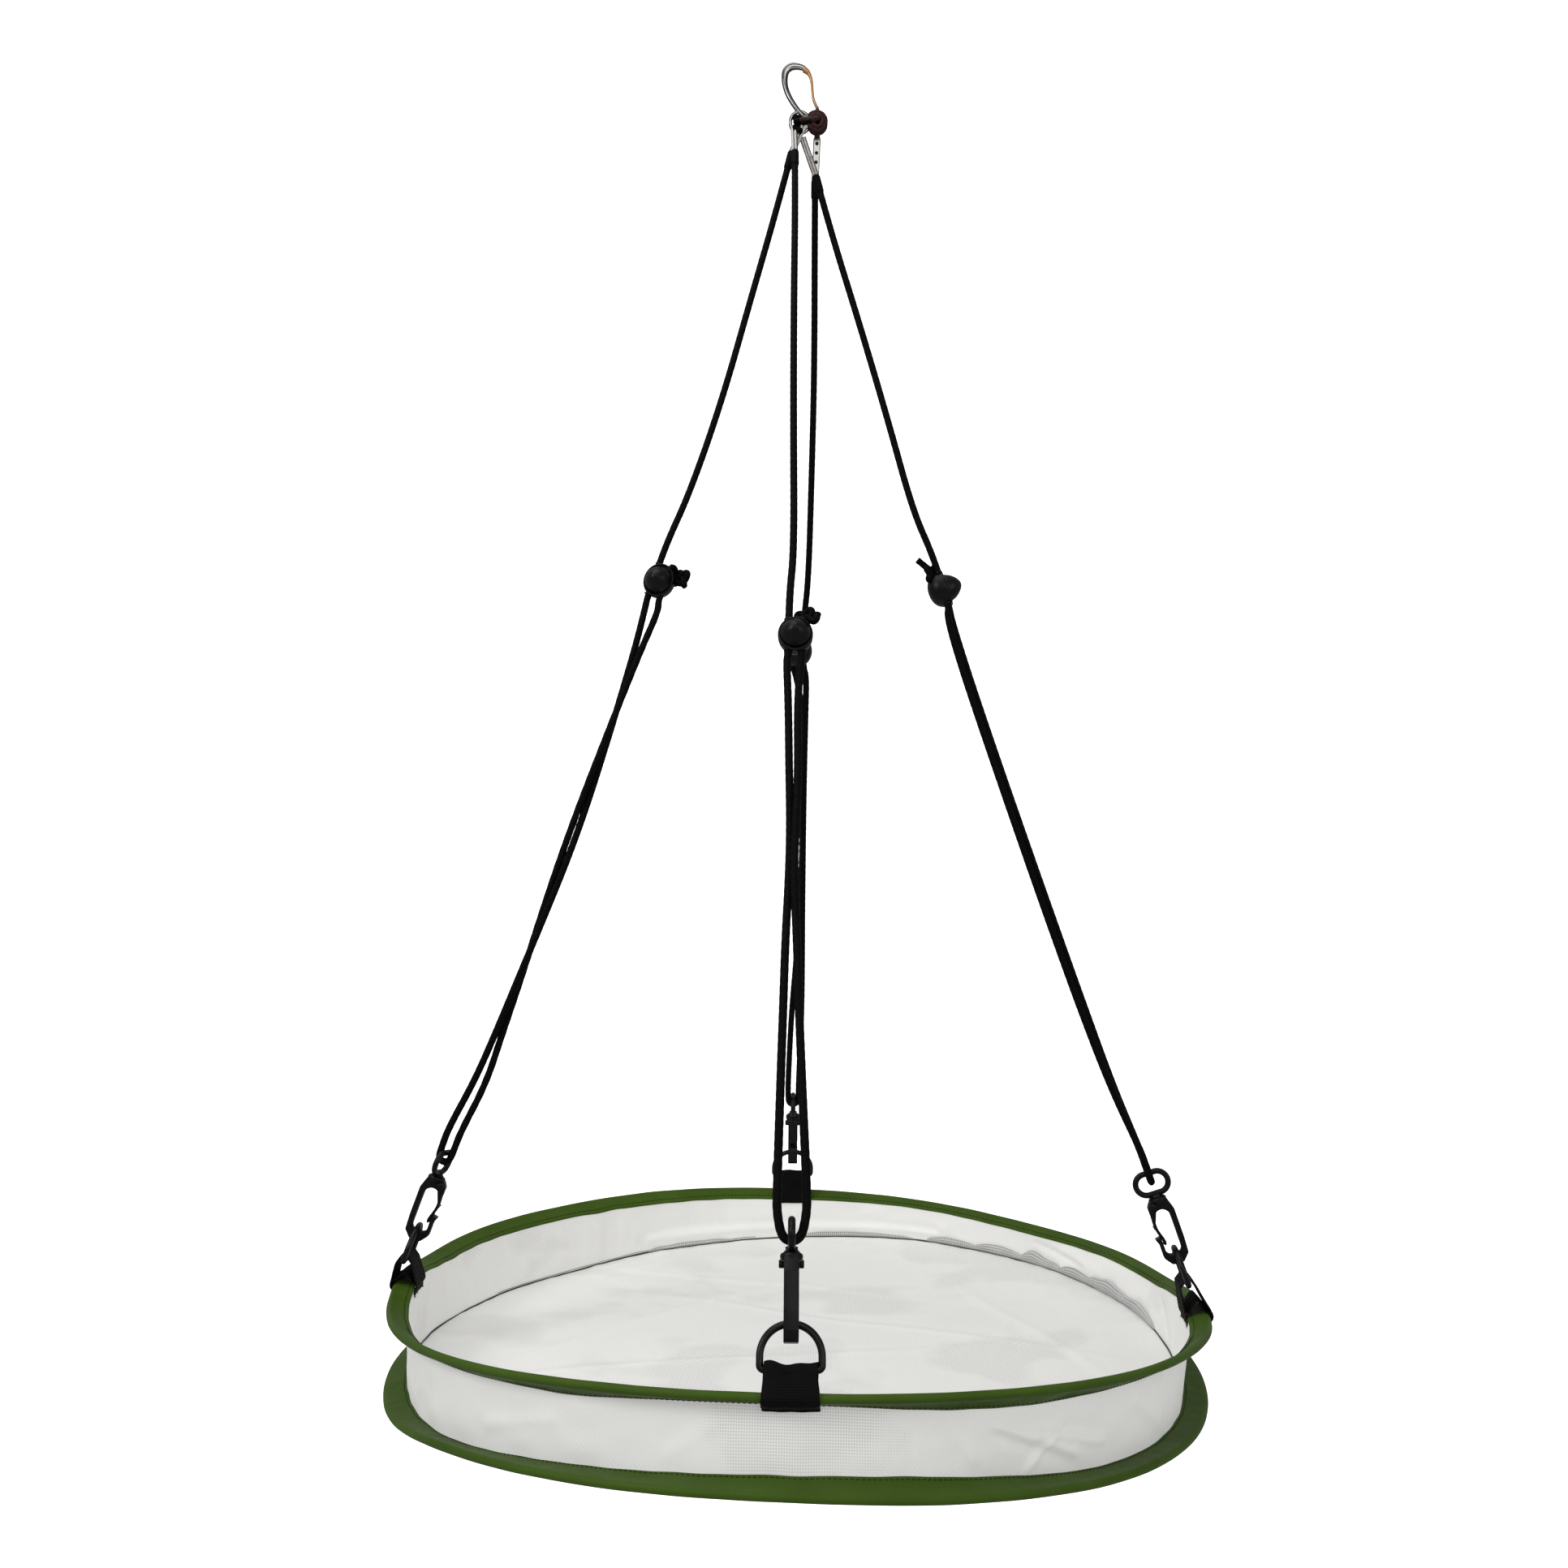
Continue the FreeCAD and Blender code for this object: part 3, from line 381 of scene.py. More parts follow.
def makeMottleGroup():
    # soft uneven tone, fine grain and dust
    tree, given, result = newGroup("unevenTone", {"Patch Scale": 20.0, "Grain Scale": 400.0},
                                   ("Patch", "Grain", "Dust"))
    spot = newNode(tree, "ShaderNodeTexCoord").outputs["Object"]
    patch = newNode(tree, "ShaderNodeTexNoise",
                    {"Vector": spot, "Scale": given.outputs["Patch Scale"], "Detail": 3.0})
    grain = newNode(tree, "ShaderNodeTexNoise",
                    {"Vector": spot, "Scale": given.outputs["Grain Scale"], "Detail": 2.0})
    facing = newNode(tree, "ShaderNodeSeparateXYZ", {0: newNode(tree, "ShaderNodeNewGeometry").outputs["Normal"]})
    upward = mathNode(tree, "MAXIMUM", facing.outputs[2], 0.0)
    tree.links.new(patch.outputs[0], result.inputs["Patch"])
    tree.links.new(grain.outputs[0], result.inputs["Grain"])
    tree.links.new(mathNode(tree, "MULTIPLY", upward, patch.outputs[0]), result.inputs["Dust"])
    return tree


weaveGroup, braidGroup, mottleGroup = makeWeaveGroup(), makeBraidGroup(), makeMottleGroup()


def groupNode(tree, group, **values):
    node = tree.nodes.new("ShaderNodeGroup")
    node.node_tree = group
    for label, value in values.items():
        node.inputs[label.replace("_", " ")].default_value = value
    return node


def blendColor(tree, share, first, second):
    node = newNode(tree, "ShaderNodeMix", data_type="RGBA")
    for socket, value in ((node.inputs[0], share), (node.inputs[6], first), (node.inputs[7], second)):
        if isinstance(value, bpy.types.NodeSocket):
            tree.links.new(value, socket)
        else:
            socket.default_value = (*value, 1) if isinstance(value, tuple) else value
    return node.outputs[2]


def newMaterial(name):
    material = bpy.data.materials.new(name)
    material.use_nodes = True
    tree = material.node_tree
    return material, tree, tree.nodes["Principled BSDF"]


def addBump(tree, shader, height, distance):
    bump = newNode(tree, "ShaderNodeBump", {"Height": height, "Distance": distance, "Strength": 1.0})
    tree.links.new(bump.outputs[0], shader.inputs["Normal"])


def clothMaterial(name, look):
    material, tree, shader = newMaterial(name)
    weave = groupNode(tree, weaveGroup, Pitch_Along=look["pitch"] * mm,
                      Pitch_Across=look.get("pitchAcross", look["pitch"]) * mm)
    tone = groupNode(tree, mottleGroup, Patch_Scale=look["patchScale"], Grain_Scale=look["grainScale"])
    color = blendColor(tree, tone.outputs["Patch"], look["dark"], look["light"])
    share = mathNode(tree, "MULTIPLY", weave.outputs["Pore"], look["poreDepth"])
    if "hatch" in look:     # the net's holes show only in patches
        level, steep = look["hatch"]
        patch = mathNode(tree, "MULTIPLY", mathNode(tree, "SUBTRACT", tone.outputs["Patch"], level), steep)
        patch = mathNode(tree, "MINIMUM", mathNode(tree, "MAXIMUM", patch, 0.06), 1.0)
        share = mathNode(tree, "MULTIPLY", share, patch)
    color = blendColor(tree, share, color, look["pore"])
    tree.links.new(color, shader.inputs["Base Color"])
    rough = mathNode(tree, "MULTIPLY_ADD", tone.outputs["Grain"], 0.15, look["roughness"])
    tree.links.new(rough, shader.inputs["Roughness"])
    shader.inputs["Specular IOR Level"].default_value = look["gloss"]
    if "through" in look:     # painted glow: the net gives off a little light of its own, standing in for light passing through it from behind
        shader.inputs["Emission Color"].default_value = (1, 0.995, 0.975, 1)
        shader.inputs["Emission Strength"].default_value = look["through"]
    addBump(tree, shader, weave.outputs["Height"], look["bump"] * mm)
    return material


def cordMaterial(name, look):
    material, tree, shader = newMaterial(name)
    braid = groupNode(tree, braidGroup, Lay=look["lay"] * mm, Strand=look["strand"] * mm)
    tone = groupNode(tree, mottleGroup, Patch_Scale=60.0, Grain_Scale=900.0)
    color = blendColor(tree, tone.outputs["Grain"], look["dark"], look["light"])
    # painted shade: the grooves between the strands are coloured darker
    color = blendColor(tree, mathNode(tree, "MULTIPLY", braid.outputs["Groove Shade"], 0.7), color, look["groove"])
    tree.links.new(color, shader.inputs["Base Color"])
    rough = mathNode(tree, "MULTIPLY_ADD", tone.outputs["Grain"], 0.2, look["roughness"])
    tree.links.new(rough, shader.inputs["Roughness"])
    shader.inputs["Specular IOR Level"].default_value = look["gloss"]
    addBump(tree, shader, braid.outputs["Height"], look["bump"] * mm)
    return material


def hardMaterial(name, look):
    material, tree, shader = newMaterial(name)
    tone = groupNode(tree, mottleGroup, Patch_Scale=look["patchScale"], Grain_Scale=look["grainScale"])
    color = blendColor(tree, mathNode(tree, "MULTIPLY", tone.outputs["Dust"], look["dust"]),
                       look["color"], look["dustColor"])
    if "paintedReflection" in look:     # painted reflection: light and dark lines of the room, as a polished wire shows them, painted into the colour by how squarely it faces the camera
        facing = newNode(tree, "ShaderNodeLayerWeight", {"Blend": 0.5}).outputs["Facing"]
        ramp = newNode(tree, "ShaderNodeValToRGB", {0: facing})
        stops = ramp.color_ramp.elements
        for position, level in look["paintedReflection"]:
            stop = stops.new(position)
            stop.color = (level, level * 0.97, level * 0.95, 1)
        stops.remove(stops[0])
        stops.remove(stops[-1])
        color = blendColor(tree, 0.85, color, ramp.outputs[0])
    tree.links.new(color, shader.inputs["Base Color"])
    rough = mathNode(tree, "MULTIPLY_ADD", tone.outputs["Patch"], look["roughSpread"], look["roughness"])
    tree.links.new(rough, shader.inputs["Roughness"])
    shader.inputs["Metallic"].default_value = look["metal"]
    shader.inputs["Specular IOR Level"].default_value = look["gloss"]
    addBump(tree, shader, tone.outputs["Grain"], look["bump"] * mm)
    return material


steelBase = {"dust": 0.5, "patchScale": 90.0, "grainScale": 700.0, "roughness": 0.22, "roughSpread": 0.14,
             "metal": 1.0, "gloss": 0.5, "bump": 0.012}
looks = {     # pitches, lay, strand and bump in mm; colours as light from 0 to 1
    "green": {"pitch": 0.55, "patchScale": 22.0, "grainScale": 300.0, "dark": (0.027, 0.056, 0.004),
              "light": (0.056, 0.104, 0.011), "pore": (0.010, 0.024, 0.002), "poreDepth": 0.30,
              "roughness": 0.42, "gloss": 0.08, "bump": 0.04},
    "thread": {"pitch": 0.3, "patchScale": 26.0, "grainScale": 300.0, "dark": (0.010, 0.022, 0.003),
               "light": (0.020, 0.040, 0.006), "pore": (0.006, 0.014, 0.002), "poreDepth": 0.3,
               "roughness": 0.5, "gloss": 0.08, "bump": 0.03},
    # through: strength of the net's painted glow; the wall's copy glows more than the floor's
    "net": {"pitch": 4.4, "pitchAcross": 6.6, "patchScale": 9.0, "grainScale": 500.0, "dark": (0.575, 0.572, 0.556),
            "light": (0.63, 0.627, 0.61), "pore": (0.26, 0.26, 0.255), "poreDepth": 0.8, "hatch": (0.50, 12.0),
            "roughness": 0.62, "gloss": 0.15, "bump": 0.08, "through": 0.15},
    "wallNet": {"pitch": 3.2, "pitchAcross": 3.6, "patchScale": 13.0, "grainScale": 500.0,
                "dark": (0.56, 0.557, 0.54), "light": (0.63, 0.627, 0.61), "pore": (0.24, 0.24, 0.235),
                "poreDepth": 0.7, "hatch": (0.55, 12.0), "roughness": 0.62, "gloss": 0.15, "bump": 0.08,
                "through": 0.19},
    # darker copy of the white net with near-black holes: painted shade on the loose folds along the seam
    "shadedFoldNet": {"pitch": 3.8, "pitchAcross": 4.2, "patchScale": 60.0, "grainScale": 500.0,
                  "dark": (0.34, 0.34, 0.335), "light": (0.50, 0.50, 0.49), "pore": (0.004, 0.004, 0.004),
                  "poreDepth": 1.0,
                  "roughness": 0.6, "gloss": 0.1, "bump": 0.2, "through": 0.08},
    # grey-black seam thread: partly the real seam, partly the painted shadow line of the join
    "seamThreadAndShadow": {"pitch": 0.6, "patchScale": 60.0, "grainScale": 500.0, "dark": (0.045, 0.045, 0.045),
                   "light": (0.14, 0.14, 0.135), "pore": (0.02, 0.02, 0.02), "poreDepth": 0.4,
                   "roughness": 0.6, "gloss": 0.1, "bump": 0.05},
    "webbing": {"pitch": 1.4, "patchScale": 70.0, "grainScale": 800.0, "dark": (0.0012, 0.0012, 0.0012),
                "light": (0.0042, 0.0042, 0.0040), "pore": (0.0006, 0.0006, 0.0006), "poreDepth": 0.6,
                "roughness": 0.62, "gloss": 0.06, "bump": 0.12},
    # groove: darker colour of the low places between strands, painted shade
    "cord": {"lay": 4.8, "strand": 1.8, "dark": (0.0008, 0.0008, 0.0008), "light": (0.0028, 0.0028, 0.0027),
             "groove": (0.0004, 0.0004, 0.0004), "roughness": 0.5, "gloss": 0.04, "bump": 0.15},
    "gather": {"lay": 4.6, "strand": 1.7, "dark": (0.012, 0.0022, 0.0020), "light": (0.034, 0.0050, 0.0045),
               "groove": (0.002, 0.0008, 0.0008), "roughness": 0.45, "gloss": 0.16, "bump": 0.2},
    "plastic": {"color": (0.0022, 0.0022, 0.0023), "dustColor": (0.010, 0.010, 0.0095), "dust": 0.35,
                "patchScale": 60.0, "grainScale": 1400.0, "roughness": 0.30, "roughSpread": 0.14,
                "metal": 0.0, "gloss": 0.13, "bump": 0.012},
    "coatedMetal": {"color": (0.0022, 0.0022, 0.0024), "dustColor": (0.008, 0.008, 0.008), "dust": 0.3,
                    "patchScale": 80.0, "grainScale": 900.0, "roughness": 0.22, "roughSpread": 0.14,
                    "metal": 0.0, "gloss": 0.17, "bump": 0.01},
    "steel": {**steelBase, "color": (0.20, 0.185, 0.175), "dustColor": (0.12, 0.11, 0.105), "roughness": 0.14},
    # the light and dark lines along this wire are painted reflection in its colour
    "reflectionPaintedSteel": {**steelBase, "color": (0.30, 0.28, 0.27), "dustColor": (0.16, 0.15, 0.14), "roughness": 0.16,
                    "paintedReflection": ((0.01, 0.25), (0.04, 0.48), (0.10, 0.40), (0.15, 0.03), (0.38, 0.012), (0.44, 0.28),
                              (0.52, 0.03), (0.95, 0.01))},
    "warmSteel": {**steelBase, "color": (0.40, 0.22, 0.095), "dustColor": (0.16, 0.075, 0.035)},
    "linkSteel": {**steelBase, "color": (0.36, 0.35, 0.335), "dustColor": (0.24, 0.235, 0.22), "dust": 0.3},
    "springSteel": {**steelBase, "color": (0.36, 0.36, 0.37), "dustColor": (0.28, 0.28, 0.28),
                    "patchScale": 60.0, "grainScale": 900.0, "roughness": 0.30, "roughSpread": 0.15, "bump": 0.01},
}

greenCloth = clothMaterial("greenCloth", looks["green"])
greenThread = clothMaterial("greenThread", looks["thread"])
whiteNet = clothMaterial("whiteNet", looks["net"])
wallNet = clothMaterial("wallNet", looks["wallNet"])
shadedFoldNet = clothMaterial("shadedFoldNet", looks["shadedFoldNet"])
seamThreadAndShadow = clothMaterial("seamThreadAndShadow", looks["seamThreadAndShadow"])
blackWebbing = clothMaterial("blackWebbing", looks["webbing"])
blackCord = cordMaterial("blackCord", looks["cord"])
gatherCordLook = cordMaterial("gatherCord", looks["gather"])
blackPlastic = hardMaterial("blackPlastic", looks["plastic"])
coatedMetal = hardMaterial("coatedMetal", looks["coatedMetal"])
polishedSteel = hardMaterial("polishedSteel", looks["steel"])
reflectionPaintedSteel = hardMaterial("reflectionPaintedSteel", looks["reflectionPaintedSteel"])
linkSteel = hardMaterial("linkSteel", looks["linkSteel"])
warmSteel = hardMaterial("warmSteel", looks["warmSteel"])
springSteel = hardMaterial("springSteel", looks["springSteel"])
print("materials made")


# Frames of the legs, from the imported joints

lockTurn = {"front": 0.0, "left": 75.0, "right": 0.0, "back": 0.0}     # how far lock and eye turn on the leg


def legFrame(side):
    top = np.array(jointOf["leg_lean_" + side]["pos_m"])
    ring = np.array(jointOf["ring_tilt_" + side]["pos_m"])
    sideways = -unit(jointOf["ring_tilt_" + side]["axis"])
    upperDown = -unit(jointOf["lock_slide_" + side]["axis"])
    lowerUp = -unit(jointOf["eye_slide_" + side]["axis"])
    # the lock is where the two straight runs of the leg meet
    gap = ring - top
    across = np.cross(upperDown, -lowerUp)
    down = np.dot(np.cross(gap, -lowerUp), across) / across.dot(across)
    turn = math.radians(lockTurn[side])
    out = np.cross(sideways, lowerUp)
    lock = top + upperDown * down
    turnedOut = out * math.cos(turn) + sideways * math.sin(turn)
    turnedSide = np.cross(lowerUp, turnedOut)
    return {"top": top, "ring": ring, "upperDown": upperDown, "reach": np.linalg.norm(lock - ring),
            "hookPlace": placeMatrix(ring, out, sideways, lowerUp),
            "eyePlace": placeMatrix(ring, turnedOut, turnedSide, lowerUp),
            "lockPlace": placeMatrix(lock, turnedOut, turnedSide, lowerUp)}


legFrames = {side: legFrame(side) for side in sides}


# Hoops. Their sleeves are cloth tubes round a spring wire, sewn to the net at the inner lip.

hoops = {
    "halfWidth": 291.85, "halfDepth": 310.85,   # of the wire's centreline, mm
    "wireRadius": 1.75, "sleeveRadius": 2.65, "lipRadius": 1.1,
    "wrinkle": 0.10, "fold": 0.30, "lipWander": 0.3, "leanWander": 1.6, "steps": 1500, "pullWidth": 8,
    "thickWander": 0.03, "sink": 0.35, "wireSteps": 720, "clothLength": 1.9, "clothGirth": 0.040,
    "stitch": {"length": 2.4, "gap": 1.0, "radius": 0.24, "rowUpper": 0.80, "rowLower": 0.86,
               "sunk": 0.1, "dip": 0.28},
    # how far the wire rises, the sleeve leans and the oval spreads, in equal steps round the hoop
    # from the right end through the back: springy hoops hung by four cords are never flat
    "upper": {"level": -942.0, "width": 15.7, "seed": 5, "twist": (243, 8, -12), "pull": ((0, 6.5), (180, 6.5)),
              "rise": (-18, -11, -6, 2, 6.5, 8.5, 5.5, 1.5, -7, -8.5, -2.5, 4, 6, 2.5, -4, -10),
              "lean": (0, -4, -10, -12, -22, -30, -30, -23, -6, -20, -33, -31, -28, -48, -38, -22),
              "spread": (7.5, 3, -2.5, -4.5)},
    "lower": {"level": -996.0, "width": 18.5, "seed": 9, "twist": (285, 10, 4), "pull": (),
              "rise": (-4, 6, 12, 15, 12.5, 6, -0.5, -4.5, -7, -9.5, 1, 7.5, 9, 2, -6.5, -9.5),
              "lean": (22, 32, 33, 32, 28, 31, 26, 28, 29, 12, -8, 10, 22, 21, 6, 7),
              "spread": (3.5, 6, -2.5, -0.5)},
}


def ringCurve(values, t):
    # smooth closed curve through values set at equal steps round the hoop
    values = np.asarray(values, float)
    place = np.asarray(t) / (2 * math.pi) * len(values)
    first = np.floor(place).astype(int)
    share = place - first
    before, start, end, after = (values[(first + step) % len(values)] for step in (-1, 0, 1, 2))
    return splineBlend(before, start, end, after, share)


def bump(t, centreDegrees, widthDegrees):
    # 1 at one place on the hoop, falling to 0 on both sides
    return np.exp(-(degreesFrom(t, centreDegrees) / widthDegrees) ** 2)


def hoopLine(which, t):
    # wire centre, outward direction, and the lean of the sleeve there
    shape = hoops[which]
    spread, rise = ringCurve(shape["spread"], t), ringCurve(shape["rise"], t)
    for where, lift in shape["pull"]:     # the cords draw the hoop up at these tabs
        rise = rise + lift * bump(t, where, hoops["pullWidth"])
    centre = np.stack([(hoops["halfWidth"] + spread) * np.cos(t), (hoops["halfDepth"] + spread) * np.sin(t),
                       shape["level"] + rise], -1)
    outward = np.stack([np.cos(t) / hoops["halfWidth"], np.sin(t) / hoops["halfDepth"], 0 * t], -1)
    outward /= np.linalg.norm(outward, axis=-1)[..., None]
    where, width, degrees = shape["twist"]
    lean = ringCurve(shape["lean"], t) + hoops["leanWander"] * ringNoise(t, 2, 14, shape["seed"])
    return centre, outward, np.radians(lean + degrees * bump(t, where, width))


def makeWire(which, body, node):
    # spring wire inside the sleeve
    t = fullTurn(hoops["wireSteps"])
    name = "wire_" + which
    parts = tubeParts(hoopLine(which, t)[0] * mm, hoops["wireRadius"] * mm, 12, closed=True)
    wire = makePiece(name, parts, springSteel)
    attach(wire, body)
    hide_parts(node)


def lipLine(which, t):
    # middle of the sewn inner edge
    shape = hoops[which]
    centre, outward, slope = hoopLine(which, t)
    span = shape["width"] - hoops["sleeveRadius"] - hoops["lipRadius"]
    span = span + hoops["lipWander"] * ringNoise(t, 20, 70, shape["seed"] + 1)
    lip = centre - outward * (np.cos(slope) * span)[..., None] + upward * (np.sin(slope) * span)[..., None]
    return lip, span


def makeSleeve(which, body, node):
    shape = hoops[which]
    t = fullTurn(hoops["steps"])
    centre, outward, slope = hoopLine(which, t)
    lip, span = lipLine(which, t)
    inward = np.stack([-np.cos(slope), np.sin(slope)], -1)     # as (outward, up) pairs
    normal = np.stack([np.sin(slope), np.cos(slope)], -1)     # towards the sleeve's upper side
    thick = hoops["sleeveRadius"] * (1 + hoops["thickWander"] * ringNoise(t, 8, 50, shape["seed"] + 2))
    columns = []
    for angle in np.radians(np.linspace(-92, 92, 12)):     # round the wire, from the under side to the upper side
        columns.append((-math.cos(angle) * thick[:, None]) * inward + (math.sin(angle) * thick[:, None]) * normal)
    flank = np.linspace(0, 1, 10)[1:-1]
    crease = ringNoise(t, 50, 150, shape["seed"] + 3)
    fold = ringNoise(t, 10, 40, shape["seed"] + 4)
    rows = []
    for sign, seed in ((1, 6), (-1, 7)):
        own = ringNoise(t, 40, 120, shape["seed"] + seed)
        side = []
        for share in flank:
            height = thick + (hoops["lipRadius"] - thick) * share
            sink = -hoops["sink"] * math.sin(math.pi * share)
            wave = math.sin(math.pi * share ** 0.8) * (hoops["wrinkle"] * (crease + own) + hoops["fold"] * fold)
            side.append((span * share)[:, None] * inward + (sign * (height + sink + wave))[:, None] * normal)
        rows.append(side)
    columns += rows[0]
    for angle in np.radians((90, 45, 0, -45, -90)):
        radius = hoops["lipRadius"]
        columns.append((span + radius * math.cos(angle))[:, None] * inward + radius * math.sin(angle) * normal)
    columns += rows[1][::-1]
    section = np.stack(columns, 1)
    points = (centre[:, None] + section[..., :1] * outward[:, None] + section[..., 1:] * upward) * mm
    length = hoops["clothLength"]     # in metres, for the weave
    around = np.append(np.linspace(0, length, hoops["steps"]), length + length / hoops["steps"])
    across = np.linspace(0, hoops["clothGirth"], section.shape[1] + 1)
    sleeve = makePiece("sleeve_" + which, gridParts(points, around, across, True, True), greenCloth, 60)
    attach(sleeve, body)
    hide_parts(node)
    makeStitches(which, body, t, span, thick)


def makeStitches(which, body, t, span, thick):
    # a row along the lip, on the sleeve's upper and under side
    stitches = []
    stitch = hoops["stitch"]
    row = stitch["rowUpper"] if which == "upper" else stitch["rowLower"]
    hoopLength, hoopRadius = 1900, 302
    count = int(hoopLength / (stitch["length"] + stitch["gap"]))
    dip = stitch["dip"] * np.array([-1, 1, 1, -1])     # both ends go down into the cloth
    for sign in (1, -1):
        for start in fullTurn(count):
            angles = start + np.linspace(0, stitch["length"] / hoopRadius, 4)
            place, out, lean = hoopLine(which, angles)
            where = np.interp(angles, t, span) * row
            height = np.interp(angles, t, thick)
            height = height + (hoops["lipRadius"] - height) * row - stitch["sunk"] + dip
            line = place + out * (-np.cos(lean) * where + np.sin(lean) * sign * height)[:, None]
            line = line + upward * (np.sin(lean) * where + np.cos(lean) * sign * height)[:, None]
            stitches.append(tubeParts(line * mm, stitch["radius"] * mm, 5))
    thread = makePiece("stitches_" + which, joinParts(stitches), greenThread)
    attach(thread, body)


makeSleeve("upper", "tray", "upper_binding")
makeSleeve("lower", "tray_floor", "lower_binding")
makeWire("upper", "tray", "upper_hoop_wire")
makeWire("lower", "tray_floor", "lower_hoop_wire")
print("sleeves made")


# Net. The wall hangs between the two lips; the floor is stretched in the lower one.

net = {
    "thickness": 0.5, "wallRows": 26, "wallSteps": 1500, "wallFold": 0.9, "wallRipple": 0.12,
    "floorRings": 120, "floorSteps": 600, "floorRadius": 295, "ringSpread": 0.92, "middle": 0.004, "sag": 3.0,
    "creaseDepth": 1.1, "swell": 0.55, "weaveAngle": 33.0, "wallHeight": 40.0, "wallRadius": 0.298,
    "wallLength": 0.042, "wallLean": 0.35,
    # waves at the floor's edge: depth, fewest and most round the hoop, reach inward, where they start, seed
    "edgeWaves": ((0.35, 30, 110, 14, 3, 44), (0.5, 10, 34, 38, 4, 45)),
    # beside each fold's and crease's crest runs a hollow: its share of the depth, its place and its width
    "foldHollow": (0.45, 1.7, 1.5), "creaseHollow": (0.55, 11, 8),
    "creaseWidth": 5, "creaseReach": 190, "creaseWander": 4, "creaseWave": 47,
}

wallFolds = [   # from and to, each as degrees round the hoop and share of the way down; depth; width
    ((294, 0.26), (307, 0.76), 2.3, 3.0), ((305, 0.20), (299, 0.94), 1.9, 2.5), ((312, 0.66), (300, 0.40), 2.1, 2.8),
    ((288, 0.20), (292, 0.80), 0.9, 4.5), ((318, 0.25), (326, 0.75), 1.2, 4.0), ((262, 0.25), (255, 0.80), 0.8, 5.0),
    ((241, 0.35), (228, 0.65), 1.0, 4.5), ((212, 0.20), (205, 0.85), 0.9, 4.0), ((118, 0.74), (62, 0.72), -1.5, 3.6),
    ((150, 0.35), (132, 0.62), 0.8, 4.5), ((42, 0.25), (30, 0.60), 1.0, 4.0), ((8, 0.15), (2, 0.85), 1.1, 3.6),
    ((176, 0.20), (184, 0.80), 0.9, 4.0),
]


def foldPush(t, share, height):
    # how far the named folds push the wall outward, mm
    hoopRadius, fadeLength = 300, 9
    hollowShare, place, spread = net["foldHollow"]
    push = np.zeros((len(t), len(share)))
    down = share[None] * height
    for (startDegrees, startShare), (endDegrees, endShare), depth, width in wallFolds:
        along = np.radians(degreesFrom(t, startDegrees))[:, None] * hoopRadius
        run = np.array([math.radians(endDegrees - startDegrees) * hoopRadius, (endShare - startShare) * height])
        length = np.linalg.norm(run)
        run = run / length
        fallen = down - startShare * height
        ahead = along * run[0] + fallen * run[1]
        aside = -along * run[1] + fallen * run[0]
        ends = smoothStep(0.5 + np.minimum(ahead, length - ahead) / fadeLength)
        hollow = np.exp(-((aside - place * width) / (spread * width)) ** 2)
        crest = np.exp(-(aside / width) ** 2) - hollowShare * hollow
        push += depth * ends * crest
    return push


def makeWall():
    t = fullTurn(net["wallSteps"])
    upper, lower = lipLine("upper", t)[0], lipLine("lower", t)[0]
    outward = hoopLine("upper", t)[1]
    share = np.linspace(0, 1, net["wallRows"])
    envelope = np.sin(math.pi * share)
    fold = net["wallFold"] * ringNoise(t, 5, 16, 31)
    lean = ringNoise(t, 12, 45, 32)
    ripple = ringNoise(t, 60, 160, 33)
    points = upper[:, None] * (1 - share)[:, None] + lower[:, None] * share[:, None]
    push = fold[:, None] * envelope
    push = push + net["wallLean"] * lean[:, None] * np.sin(2 * math.pi * share) ** 2
    push = push + foldPush(t, share, net["wallHeight"]) * envelope ** 0.5
    push = push + net["wallRipple"] * ripple[:, None] * (envelope * (0.35 + share))
    outer = points + outward[:, None] * (push + net["thickness"] / 2)[..., None]
    inner = points + outward[:, None] * (push - net["thickness"] / 2)[..., None]
    both = np.concatenate([outer, inner[:, ::-1]], 1) * mm
    around = np.append(t, 2 * math.pi) * net["wallRadius"]
    down = np.concatenate([share, share[::-1], [0]]) * net["wallLength"]
    wall = makePiece("net_wall", gridParts(both, around, down, True, True), wallNet, 60)
    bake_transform(wall)
    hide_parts("mesh_wall")
    middle = points * mm
    around = np.linalg.norm(np.roll(middle, -1, 0) - middle, axis=2)[:, 0].sum()


creases = [     # where a long faint crease crosses the floor, its direction in degrees and its depth
    (-60, -40, 12, 0.9), (40, 70, -24, 0.8), (-120, 60, 48, 0.7), (130, -80, 75, 0.7),
    (20, -170, -6, 0.8), (-30, 180, 160, 0.6), (180, 60, 110, 0.6),
]


def floorHeight(x, y, rim, share):
    # mm above the lip; share is 0 in the middle and 1 at the rim
    height = -net["sag"] * (1 - share ** 2)
    hollowShare, place, spread = net["creaseHollow"]
    for startX, startY, degrees, depth in creases:
        angle = math.radians(degrees)
        away = -(x - startX) * math.sin(angle) + (y - startY) * math.cos(angle)
        along = (x - startX) * math.cos(angle) + (y - startY) * math.sin(angle)
        away = away + net["creaseWander"] * np.sin(along / net["creaseWave"] + degrees)
        fade = np.exp(-(along / net["creaseReach"]) ** 2)
        crest = np.exp(-(away / net["creaseWidth"]) ** 2) - hollowShare * np.exp(-((away - place) / spread) ** 2)
        height = height + depth * net["creaseDepth"] * fade * crest
    swell = np.sin(x / 61 + 1) * np.sin(y / 53 + 2) + 0.6 * np.sin(x / 29 - y / 37) + 0.4 * np.sin(x / 19 + y / 23)
    return height + net["swell"] * swell * (1 - share ** 6) + rim


